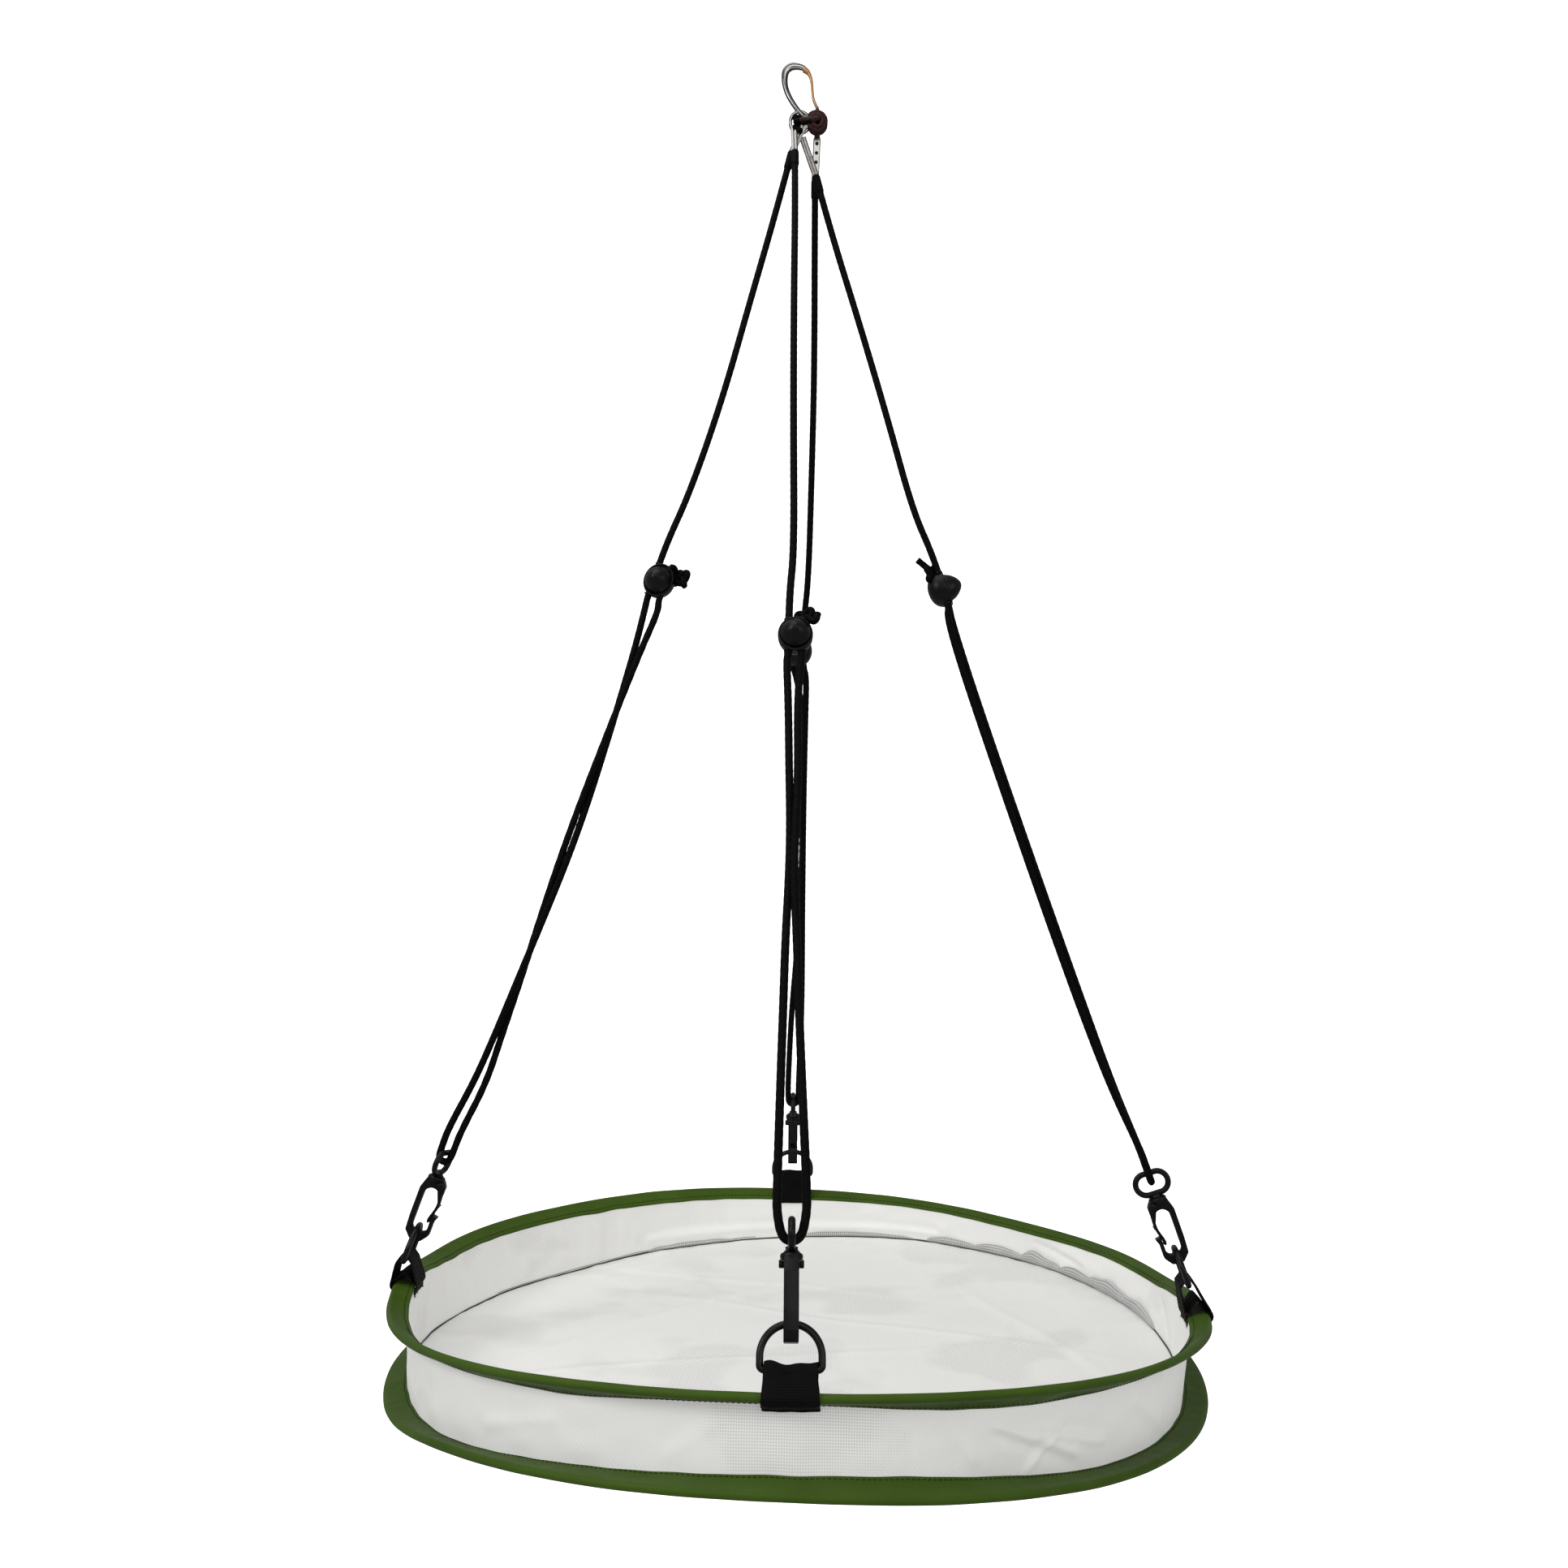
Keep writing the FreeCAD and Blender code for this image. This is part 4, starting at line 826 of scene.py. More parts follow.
def makeFloor():
    t = fullTurn(net["floorSteps"])
    lip = lipLine("lower", t)[0]
    share = np.linspace(0, 1, net["floorRings"]) ** net["ringSpread"]
    share[0] = net["middle"]
    flat = lip[:, None] * share[:, None]
    x, y = flat[..., 0], flat[..., 1]
    lipLevel = lip[:, 2].mean()
    rim = (lip[:, 2] - lipLevel)[:, None] * share ** 3
    edge = (1 - share) * net["floorRadius"]
    for depth, low, high, reach, start, seed in net["edgeWaves"]:
        wave = depth * ringNoise(t, low, high, seed)[:, None]
        rim = rim + wave * np.exp(-edge / reach) * smoothStep(edge / start)
    z = lipLevel + floorHeight(x, y, rim, share)
    top = np.stack([x, y, z + net["thickness"] / 2], -1)
    under = np.stack([x, y, z - net["thickness"] / 2], -1)
    both = np.concatenate([top, under[:, ::-1]], 1) * mm
    points, faces, _ = gridParts(both, np.zeros(len(t) + 1), np.zeros(both.shape[1] + 1), True, True)
    corners = np.array(faces).ravel()
    angle = math.radians(net["weaveAngle"])
    turn = np.array([[math.cos(angle), -math.sin(angle)], [math.sin(angle), math.cos(angle)]])
    floor = makePiece("net_floor", (points, faces, points[corners][:, :2] @ turn), whiteNet, 60)
    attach(floor, "tray_floor")
    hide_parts("mesh_floor")


def seamLine(t, inset, rise, wander, seed):
    lip = lipLine("lower", t)[0]
    outward = hoopLine("lower", t)[1]
    line = lip - outward * (inset + wander * ringNoise(t, 10, 60, seed))[:, None]
    line[:, 2] += rise + wander * ringNoise(t, 8, 50, seed + 1)
    return line


secondLines = [     # from and to in degrees round the hoop, inset and rise in mm, seed
    (97, 128, 0.9, 2.5, 62), (128, 152, 0.8, 2.2, 63), (200, 250, 2.2, 1.4, 65), (330, 352, 2.6, 1.8, 67),
]


def makeSeams():
    # dark thread where the floor meets the wall, a real seam darkened to also paint the shadow line of the join, with
    # a second line beside it in places
    t = fullTurn(1600)
    radius = 0.26 + 0.07 * ringNoise(t, 3, 12, 60)
    parts = [tubeParts(seamLine(t, 0.9, 1.3, 0.16, 61) * mm, radius * mm, 6, closed=True)]
    for first, last, inset, rise, seed in secondLines:
        part = np.radians(np.linspace(first, last, int((last - first) * 5)))
        parts.append(tubeParts(seamLine(part, inset, rise, 0.2, seed) * mm, 0.2 * mm, 6))
    thread = makePiece("floor_seam", joinParts(parts), seamThreadAndShadow)
    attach(thread, "tray_floor")


# loose folds of net along the back right seam: from, to, height, how far they stand in, seed
foldedStrips = [
    (64, 53, 6.5, 2.6, 71), (55, 43, 7.5, 3.2, 72), (45, 35, 9.5, 4.2, 73), (36, 26, 8.0, 3.6, 74),
    (29, 15, 11.0, 4.4, 75), (20, 8, 9.0, 3.8, 76), (118, 100, 3.6, 1.6, 77), (92, 66, 4.2, 1.8, 78),
]


strip = {"start": 1.2, "ragged": 0.12, "flutter": 0.4, "inset": 1.0, "thickness": 0.45}     # mm


def makeFoldedStrips():
    parts = []
    for first, last, tall, proud, seed in foldedStrips:
        t = np.radians(np.linspace(first, last, int(abs(last - first) * 8)))
        lip = lipLine("lower", t)[0]
        outward = hoopLine("lower", t)[1]
        along = np.linspace(0, 1, len(t))
        lens = np.sin(math.pi * along ** 0.8) ** 0.55
        across = np.linspace(0, 1, 13)
        wave = ringNoise(t * 4, 5, 22, seed)
        height = strip["start"] + (tall * lens * (1 + strip["ragged"] * wave))[:, None] * across
        bulge = proud * lens[:, None] * np.sin(math.pi * (0.12 + 0.8 * across))
        bulge = bulge + strip["flutter"] * wave[:, None] * across
        points = lip[:, None] - outward[:, None] * (strip["inset"] + bulge)[..., None]
        points[..., 2] += height
        back = points + outward[:, None] * strip["thickness"]
        both = np.concatenate([points, back[:, ::-1]], 1) * mm
        places = lineLengths(lip * mm)
        down = np.concatenate([across, across[::-1], [0]]) * tall * mm
        parts.append(gridParts(both, np.append(places, places[-1]), down, False, True, True))
    # the strips take a darker copy of the net as painted shade
    strips = makePiece("folded_net", joinParts(parts), shadedFoldNet, 60)
    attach(strips, "tray_floor")


makeWall()
makeFloor()
makeSeams()
makeFoldedStrips()
print("net made")


# Webbing tabs, folded round the upper sleeve and the ring's bar, with cut ends inside

webbing = {
    "width": 30.0, "flare": 2.6, "thickness": 1.5, "rib": 1.45, "ribHeight": 0.16, "step": 0.34,
    "shoulderRadius": 1.2, "drift": 0.35, "plyStep": 1.2, "wobble": 0.25, "edgeThin": 0.45, "bendRadius": 300,
    # how far from the ring a ply starts to widen and over what length, and the height and spread of its wavy top
    "widens": (5, 14), "topBand": (2.6, 3.5),
    "ease": 0.7, "ringWire": 2.1, "frays": 40, "shoulder": (4.6, -2.4),
    # how high the second ply stands over the band
    "crown": {"front": 0.0, "left": 5.5, "right": 8.0, "back": 0.0},
    # how far the inner ply hangs below the seam
    "innerEnd": {"front": 1.0, "left": 2.6, "right": 2.6, "back": 0.5},
    # how wavy the fold over the ring is
    "topWave": {"front": 1.1, "left": 0.3, "right": 0.3, "back": 0.4},
}


def hullLine(discs, step):
    # outline of the hull of discs (x, z, radius), anticlockwise, as a closed line
    line = []
    count = len(discs)
    ends = []
    for index in range(count):
        (x, z, radius), (nextX, nextZ, nextRadius) = discs[index], discs[(index + 1) % count]
        distance = math.hypot(nextX - x, nextZ - z)
        swing = math.atan2(nextZ - z, nextX - x) - math.acos((radius - nextRadius) / distance)
        ends.append(swing)
    for index in range(count):
        (x, z, radius), (nextX, nextZ, nextRadius) = discs[index], discs[(index + 1) % count]
        swing, nextSwing = ends[index], ends[(index + 1) % count]
        start = np.array([x + radius * math.cos(swing), z + radius * math.sin(swing)])
        end = np.array([nextX + nextRadius * math.cos(swing), nextZ + nextRadius * math.sin(swing)])
        pieces = max(2, int(np.linalg.norm(end - start) / step))
        line += [start + (end - start) * share for share in np.linspace(0, 1, pieces, endpoint=False)]
        turn = (nextSwing - swing) % (2 * math.pi)
        pieces = max(2, int(turn * nextRadius / step))
        line += [np.array([nextX + nextRadius * math.cos(swing + turn * share),
                           nextZ + nextRadius * math.sin(swing + turn * share)])
                 for share in np.linspace(0, 1, pieces, endpoint=False)]
    return np.array(line)


def tabPlies(side, wire, lipSpot, lean):
    # lines of the two plies, as (outward, up) in mm from the ring's bar
    half = webbing["thickness"] / 2
    wireReach = hoops["sleeveRadius"] + webbing["ease"] + half
    lipReach = hoops["lipRadius"] + webbing["ease"] + half + 0.3
    ringReach = webbing["ringWire"] + 0.25 + half
    discs = [(*lipSpot, lipReach + 0.2), (*wire, wireReach + 0.2)]
    if side in ("left", "right"):     # stiff short tabs bulge beside the ring's bar
        outX, outZ = webbing["shoulder"]
        outRadius = webbing["shoulderRadius"]
        discs += [(outX, outZ, outRadius), (0.0, 0.5, ringReach), (-outX, outZ, outRadius)]
    else:
        discs.append((0.0, 0.0, ringReach))
    loop = hullLine(discs, 0.3)
    # the loop is open under the lip, where both plies are sewn to the seam
    under = np.argmin((loop[:, 0] - lipSpot[0]) ** 2 + (loop[:, 1] - (lipSpot[1] - 6)) ** 2)
    loop = np.roll(loop, -under, 0)
    loop = loop[np.hypot(loop[:, 0] - lipSpot[0], loop[:, 1] - (lipSpot[1] - 3)) > 1.3]
    innerEnd = [(lipSpot[0] - 1.5, lipSpot[1] - 3.2),
                (lipSpot[0] - 1.3, lipSpot[1] - 3.4 - webbing["innerEnd"][side])]
    outerEnd = [(lipSpot[0] + 1.4, lipSpot[1] - 3.9)]
    plies = [np.concatenate([outerEnd, loop[4:-4:6], innerEnd])]
    # a second ply lies on the band under the loop and turns round its outer edge
    normal = np.array([math.sin(lean), math.cos(lean)])
    inward = np.array([-math.cos(lean), math.sin(lean)])
    close = hoops["sleeveRadius"] + 0.25 + half
    crown = webbing["crown"][side]
    turn = [wire + close * (math.cos(a) * normal - math.sin(a) * inward) for a in np.radians((0, 25, 50, 75, 100))]
    plies.append([lipSpot + (hoops["lipRadius"] + 0.3 + half) * normal + 1.0 * inward,
                  (lipSpot + wire) / 2 + (close - 0.7 + crown) * normal,
                  wire + (close + 0.5 * crown) * normal + 2.5 * inward, *turn])
    return plies


def makeTab(side, seed):
    ring = legFrames[side]["ring"] / mm
    low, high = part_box("webbing_tab_" + side)
    middle = np.array((low + high) / 2) / mm
    t = math.atan2(middle[1] / hoops["halfDepth"], middle[0] / hoops["halfWidth"])
    if side in ("front", "back"):
        t = math.copysign(math.pi / 2, t)
    angle = np.array([t])
    centre, outward, lean = (value[0] for value in hoopLine("upper", angle))
    lip = lipLine("upper", angle)[0][0]
    along = np.cross((0, 0, 1), outward)

    def flatPoint(point):
        return np.array([(point - ring).dot(outward), point[2] - ring[2]])

    half = webbing["thickness"] / 2
    widensFrom, widensOver = webbing["widens"]
    topHeight, topSpread = webbing["topBand"]
    dice = np.random.default_rng(seed)
    parts = []
    across = np.sin(np.linspace(-math.pi / 2, math.pi / 2, 31))
    for number, flat in enumerate(tabPlies(side, flatPoint(centre), flatPoint(lip), lean)):
        flat = np.asarray(flat)
        line = softLine(np.stack([flat[:, 0], flat[:, 1], flat[:, 0] * 0], 1), webbing["step"])[:, :2]
        rows = len(line)
        heading, normal = lineSides(line)
        lengths = lineLengths(line)
        fromRing = smoothStep((np.hypot(line[:, 0], line[:, 1]) - widensFrom) / widensOver)
        drift = np.interp(lengths, np.linspace(0, lengths[-1], 9), dice.normal(0, webbing["drift"], 9))
        width = webbing["width"] + webbing["flare"] * fromRing - webbing["plyStep"] * number
        wobble = np.sin(lengths[:, None] / 6 + 5 * across) * np.cos(across * 4 + seed)
        places = across * width[:, None] / 2 + drift[:, None]
        rib = webbing["ribHeight"] * np.cos(2 * math.pi * lengths / webbing["rib"])[:, None]
        rib = rib * (1 - across ** 8) + webbing["wobble"] * wobble * fromRing[:, None]
        thin = half * (1 - webbing["edgeThin"] * across ** 10)
        bend = -(places ** 2) / (2 * webbing["bendRadius"]) * fromRing[:, None]
        topWave = webbing["topWave"][side] * (np.sin(2.6 * across + seed) + 0.5 * np.sin(6.3 * across))
        topWave = topWave * np.exp(-((line[:, 1:] - topHeight) / topSpread) ** 2)
        surfaces = []
        for sign in (1, -1):
            lift = sign * thin + rib
            x = line[:, :1] + normal[:, :1] * lift + bend
            z = line[:, 1:] + normal[:, 1:] * lift + topWave
            surfaces.append(ring + outward * x[..., None] + upward * z[..., None] + along * places[..., None])
        both = np.concatenate([surfaces[0], surfaces[1][:, ::-1]], 1) * mm
        wide = np.linspace(0, 2 * webbing["width"], both.shape[1] + 1) * mm
        parts.append(gridParts(both, np.append(lengths, lengths[-1]) * mm, wide, False, True, True))
        if number or side in ("front", "back"):
            continue
        for _ in range(webbing["frays"]):     # loose fibres at the cut end inside
            column = dice.integers(1, len(across) - 1)
            start = (surfaces[0][rows - 1, column] + surfaces[1][rows - 1, column]) / 2
            ahead = outward * heading[-1, 0] + upward * heading[-1, 1]
            away = ahead + along * dice.normal(0, 0.35) + outward * dice.normal(-0.15, 0.2)
            curl = along * dice.normal(0, 0.5) + outward * dice.normal(0, 0.3)
            reach = dice.uniform(0.6, 2.6)
            fibre = [start - away * 0.5, start + away * reach * 0.5, start + away * reach + curl * reach * 0.4]
            parts.append(tubeParts(softLine(fibre, 0.5) * mm, dice.uniform(0.08, 0.16) * mm, 4))
    tab = makePiece("tab_" + side, joinParts(parts), blackWebbing, 50)
    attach(tab, "tray")
    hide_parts("webbing_tab_" + side)


for number, side in enumerate(sides):
    makeTab(side, 80 + number)
print("tabs made")


# Snap hooks, measured in mm along the leg from the ring's bar

hook = {
    "thickness": 8.6, "bevel": 0.75, "bottom": 13.9, "openingBottom": 20.4, "openingTop": 53.4, "top": 60.4,
    "inside": -6.6, "outside": 5.0, "nose": -9.4, "spine": 9.2, "noseTop": 34.2, "mouthTop": 49.6,
    "pivot": (-5.1, 56.9), "tongueWidth": 5.4, "tongueThick": 2.3, "pinLength": 14.5, "pinRadius": 2.4,
    # x and z down the tongue, sprung on its pin, bulging outward and closing inside the nose
    "tongue": [(-6.6, 58.0), (-7.1, 54.0), (-7.7, 49.5), (-8.0, 45.0), (-7.8, 40.5), (-6.9, 36.5),
               (-5.7, 33.0), (-5.1, 30.2), (-5.3, 29.2), (-5.9, 28.6)],
    # radius and z up the collar that holds the eye
    "collar": [(0.2, 57.4), (5.4, 57.5), (6.3, 58.6), (6.6, 60.2), (6.4, 61.2), (5.4, 62.0), (0.2, 62.1)],
}
eye = {
    "centre": 72.25, "halfWidth": 11.85, "halfHeight": 7.6, "bar": 2.15,
    "neck": [(0.2, 61.9), (4.5, 62.3), (4.1, 63.2), (3.4, 64.2), (3.3, 65.6), (0.2, 66.2)],
}


def hookOutline():
    # outer edge from the nose round to the tongue's seat, then the opening's edge back to the nose
    h = hook
    arcRadius = 5.7
    arcCentre = h["openingTop"] - 5.8
    middle = (h["inside"] + h["outside"]) / 2
    corners = [
        (h["nose"] - 1.7, h["noseTop"] - 0.6, 0.3), (h["nose"], h["noseTop"] - 4.6, 1.5),
        (h["nose"], h["bottom"] + 5.6, 3.0), (h["nose"] + 4.6, h["bottom"], 2.2),
        (h["spine"] - 5.6, h["bottom"], 2.0), (h["spine"] - 0.6, h["bottom"] + 5.4, 2.0),
        (h["spine"], h["openingBottom"] + 10, 8.0), (h["spine"], h["openingTop"] - 2, 4.0),
        (h["spine"] - 3.0, h["top"], 2.4), (-6.4, h["top"], 2.4), (-9.0, h["top"] - 4.2, 1.8),
        (-8.9, h["mouthTop"] + 0.6, 3.0), (-8.5, h["mouthTop"] - 2.8, 0.4),
        (h["inside"] - 0.3, h["mouthTop"] - 2.2, 0.4),
        (h["inside"] + 0.4, arcCentre + 1.6, 0.3),
    ]
    outline = roundedOutline(corners)
    for degrees in range(160, -1, -10):
        outline.append(np.array([middle + arcRadius * math.cos(math.radians(degrees)),
                                 arcCentre + arcRadius * math.sin(math.radians(degrees))]))
    inner = [
        (h["outside"], arcCentre - 6, 0.0), (h["outside"], h["openingBottom"], 4.0),
        (h["inside"], h["openingBottom"], 4.0), (h["inside"], h["noseTop"] - 2.6, 0.0),
        (h["inside"] - 0.6, h["noseTop"] + 0.4, 0.3),
    ]
    rounded = roundedOutline([(h["outside"], arcCentre, 0.0)] + inner + [(h["nose"] - 1.7, h["noseTop"] - 0.6, 0.0)])
    return outline + rounded[1:-1]


def ringPath():
    # oval of the swivel eye, in the local XZ plane
    straight = eye["halfWidth"] - eye["halfHeight"]
    path = []
    for degrees in range(0, 360, 5):
        angle = math.radians(degrees)
        shift = straight if math.cos(angle) >= 0 else -straight
        path.append((shift + eye["halfHeight"] * math.cos(angle), 0,
                     eye["centre"] + eye["halfHeight"] * math.sin(angle)))
    return evenSteps(np.array(path + path[:1]), 0.9)[:-1]


def uprightTurned(profile, columns, wobble=0.0, seed=0):
    # body turned about the local Z axis from (radius, z) pairs in mm
    parts = turnedParts([(z, radius) for radius, z in profile], columns, 1.0, wobble, seed)
    points = parts[0]
    return points[:, [1, 2, 0]], parts[1], parts[2]


def sidePin(centre, reach, radius):
    # rounded pin head standing out on both sides of the hook
    inside, roundLength = 3.4, 0.6
    parts = []
    for sign in (1, -1):
        line = np.array([(centre[0], sign * inside, centre[1]), (centre[0], sign * (reach - 0.5), centre[1]),
                         (centre[0], sign * reach, centre[1])]) * mm
        line = evenSteps(line, 0.0003)
        away = np.clip((np.abs(line[:, 1]) / mm - (reach - roundLength)) / roundLength, 0, 1)
        parts.append(tubeParts(line, radius * mm * np.sqrt(np.clip(1 - 0.35 * away ** 2, 0.1, 1)), 20))
    return parts


def makeHook(side, seed):
    place = legFrames[side]["hookPlace"]
    name = "hook_" + side
    mesh = plateMesh(name, [hookOutline()], hook["thickness"], hook["bevel"], place)
    body = addObject(name, mesh, blackPlastic, 30)
    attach(body, "hook_" + side)
    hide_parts("snap_hook_" + side)
    collarParts = uprightTurned(hook["collar"], 36, 0.01, seed)
    collar = makePiece("collar_" + side, movedBy(place, collarParts), blackPlastic, 45)
    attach(collar, "hook_" + side)

    # tongue, thicker at its root
    line = softLine([(x, z, 0) for x, z in hook["tongue"]], 0.7)[:, :2]
    thick = hook["tongueThick"] * (1 + 0.5 * np.exp(-np.arange(len(line)) / 5))
    tongueParts = stripParts(line, thick, hook["tongueWidth"])
    tongue = makePiece("tongue_" + side, movedBy(place, tongueParts), blackPlastic, 45)
    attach(tongue, "tongue_" + side)
    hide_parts("hook_tongue_" + side)
    pins = joinParts(sidePin(hook["pivot"], hook["pinLength"] / 2, hook["pinRadius"]))
    pin = makePiece("tongue_pin_" + side, movedBy(place, pins), blackPlastic, 45)
    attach(pin, "tongue_" + side)

    # eye that turns in the collar
    place = legFrames[side]["eyePlace"]
    oval = tubeParts(ringPath() * mm, eye["bar"] * mm, 20, closed=True)
    neck = uprightTurned(eye["neck"], 28, 0.05, seed + 3)
    eyeBody = makePiece("eye_" + side, movedBy(place, joinParts([oval, neck])), blackPlastic, 45)
    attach(eyeBody, "eye_" + side)
    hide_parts("swivel_eye_" + side)


for number, side in enumerate(sides):
    makeHook(side, 100 + number)
print("hooks made")


# Cord locks: a ball-shaped body round the two strands and a domed button

lock = {
    # x along the button's travel and radius, for the body and for the button
    "body": [(-12.0, 0.2), (-11.6, 3.6), (-10.0, 7.4), (-7.2, 10.2), (-3.4, 11.8), (0.6, 12.1), (2.6, 11.9),
             (3.3, 11.2), (3.0, 10.8), (0.0, 10.7), (-1.0, 0.2)],
    "button": [(-2.4, 0.2), (-2.3, 10.2), (1.0, 10.5), (3.6, 10.5), (4.8, 10.1), (8.2, 8.4), (11.6, 5.4),
               (13.6, 2.4), (14.2, 0.2)],
    "oval": 1.12, "strand": 4.5, "holeTop": 12.6, "rimRadius": 2.9, "rimWire": 0.55,
}
knot = {"across": 2.5, "up": 2.2, "deep": 0.34, "radius": 2.6, "start": 12.8,
        # where the strand leaves the lock, the knot's middle, and the way and length of its cut tail
        "front": ((0.0, 6.5, 13.0), (-2.0, 6.2, 14.6), (0.1, 0.5, 0.9), 6.5),
        "left": ((-3.0, 7.8, 12.6), (-3.0, 15.2, 7.0), (0.1, -0.5, 0.9), 4.0),
        "right": ((0.0, 4.6, 13.0), (-4.0, -2.0, 13.5), (-0.52, -0.1, 0.85), 24.0),
        "back": ((-2.0, 5.2, 13.6), (-3.0, 3.6, 16.4), (-0.2, -0.5, 0.8), 5.0)}


def knotPath(side):
    # overhand knot on the returning strand, in the lock's local frame
    leave, middle, tailWay, tailLength = knot[side]
    t = np.linspace(-2.02, 2.04, 16)
    across, up, through = overhand(t)
    loop = np.stack([knot["deep"] * through, knot["across"] * across, -knot["up"] * up - 3.6], 1) + np.array(middle)
    tailWay = unit(tailWay)
    tail = [loop[-1] + unit(loop[-1] - loop[-2]) * 1.5 + tailWay * 2.5, loop[-1] + tailWay * tailLength]
    return softLine(np.concatenate([[(0, lock["strand"], knot["start"])], [leave], loop, tail]), 0.6)


def makeLock(side):
    place = legFrames[side]["lockPlace"]
    body = turnedParts(lock["body"], 64, lock["oval"])
    rims = []     # round the cord's four holes
    radius = lock["rimRadius"]
    for across in (-lock["strand"], lock["strand"]):
        for level in (-lock["holeTop"], lock["holeTop"]):
            height = level - 0.25 * math.copysign(1, level)
            circle = np.array([(radius * math.cos(a), across + radius * math.sin(a), height)
                               for a in fullTurn(28)])
            rims.append(tubeParts(circle * mm, lock["rimWire"] * mm, 8, closed=True))
    shell = makePiece("lock_" + side, movedBy(place, joinParts([body] + rims)), blackPlastic, 40)
    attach(shell, "lock_" + side)
    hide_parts("cord_lock_" + side)
    dome = makePiece("button_" + side, movedBy(place, turnedParts(lock["button"], 64)), blackPlastic, 40)
    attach(dome, "button_" + side)
    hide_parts("lock_button_" + side)
    knotParts = tubeParts(knotPath(side) * mm, knot["radius"] * mm, 16, braid=0.06)
    tied = makePiece("knot_" + side, movedBy(place, knotParts), blackCord, 60)
    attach(tied, "lock_" + side)
    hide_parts("cord_knot_" + side)


for side in sides:
    makeLock(side)
print("locks made")


# Cord legs. Each route is a spline through given points; the cord is a braided tube along it.

cords = {
    "diameter": 5.4, "step": 0.00075, "columns": 16, "braid": 0.05,
    "linkEnd": {"front": 25.0, "left": 22.0, "right": 43.0, "back": 40.0},
    "linkShift": {"front": -3.0, "left": 4.0, "right": -5.0, "back": 10.0},
    # share of the way down the upper cord, and how far it sways to the right there, mm
    "sway": {"front": ((0.12, -1.8), (0.36, -1.2), (0.62, 0.4), (0.86, 2.6)),
             "left": ((0.14, 6.0), (0.36, 7.4), (0.60, 9.4), (0.82, 6.6)),
             "right": ((0.14, -6.0), (0.38, -4.6), (0.62, -4.4), (0.84, -5.6)),
             "back": ((0.14, 9.6), (0.40, 9.4), (0.64, 7.0), (0.86, 4.4))},
    # the loop: share of the way down, sway to the right, half the gap of its strands, and their twist in degrees
    "loop": {"front": ((0.05, -1.0, 4.3, 0), (0.13, -1.4, 2.7, 0), (0.27, -0.6, 2.6, 12), (0.36, -0.8, 2.5, 50),
                       (0.45, -1.6, 2.5, 58), (0.56, -1.5, 3.2, 15), (0.68, -1.2, 4.3, 0), (0.80, -0.8, 5.7, 0)),
             "left": ((0.05, 2.4, 5.2, 8), (0.12, 3.2, 3.4, 30), (0.22, 4.2, 2.7, 65), (0.30, 5.0, 2.4, 95),
                      (0.40, 5.8, 2.5, 140), (0.50, 6.2, 2.6, 182), (0.60, 6.2, 2.5, 225), (0.70, 6.4, 2.4, 268),
                      (0.80, 6.2, 2.5, 310), (0.88, 5.8, 3.8, 345)),
             "right": ((0.05, -3.4, 4.0, 20), (0.14, -5.4, 2.7, 36), (0.28, -6.2, 2.5, 38), (0.44, -6.5, 2.5, 40),
                       (0.60, -6.4, 2.5, 40), (0.74, -5.8, 2.5, 36), (0.86, -4.4, 3.0, 18)),
             "back": ((0.05, 3.0, 4.2, 20), (0.13, 6.0, 2.7, 70), (0.28, 6.2, 2.5, 86), (0.42, 6.0, 2.5, 84),
                      (0.56, 5.4, 2.6, 70), (0.68, 4.0, 3.2, 40), (0.80, 2.2, 4.2, 12))},
    "loopHalf": {"front": 8.6, "left": 5.0, "right": 4.5, "back": 4.8},    # half the loop's width at the eye
    "loopBend": {"front": 0.6, "left": 0.86, "right": 0.86, "back": 0.86},  # share of it that the bend keeps
    "loopDrop": {"front": 11.0, "left": 6.6, "right": 6.6, "back": 6.6},   # how far the bend hangs below the eye
    "strandGap": 1.14,
    # mm: how far the ends of both cords reach into the lock, the loop's straight runs under the lock and over the eye
    "enter": 3.5, "loopStart": 6, "loopEnd": 10, "underLock": 14, "overEye": (18, 4),
}
whipping = {"radius": 3.15, "ridge": 0.12, "above": 0.5, "below": 15}     # sleeve shrunk over the cord's end, mm


def routeLine(name, points):
    # spline with the points as its handles, cut into even steps
    curve = bpy.data.curves.new(name, "CURVE")
    curve.dimensions = "3D"
    curve.resolution_u = 24
    spline = curve.splines.new("NURBS")
    spline.points.add(len(points) - 1)
    for target, point in zip(spline.points, points):
        target.co = (*[float(value) for value in point], 1)
    spline.order_u = 3
    spline.use_endpoint_u = True
    mesh = meshOfCurve(curve)
    line = np.array([vertex.co for vertex in mesh.vertices], float)
    bpy.data.meshes.remove(mesh)
    return evenSteps(line, cords["step"])


def cordObject(name, line):
    parts = tubeParts(line, cords["diameter"] / 2 * mm, cords["columns"], braid=cords["braid"])
    return makePiece(name, parts, blackCord, 75)


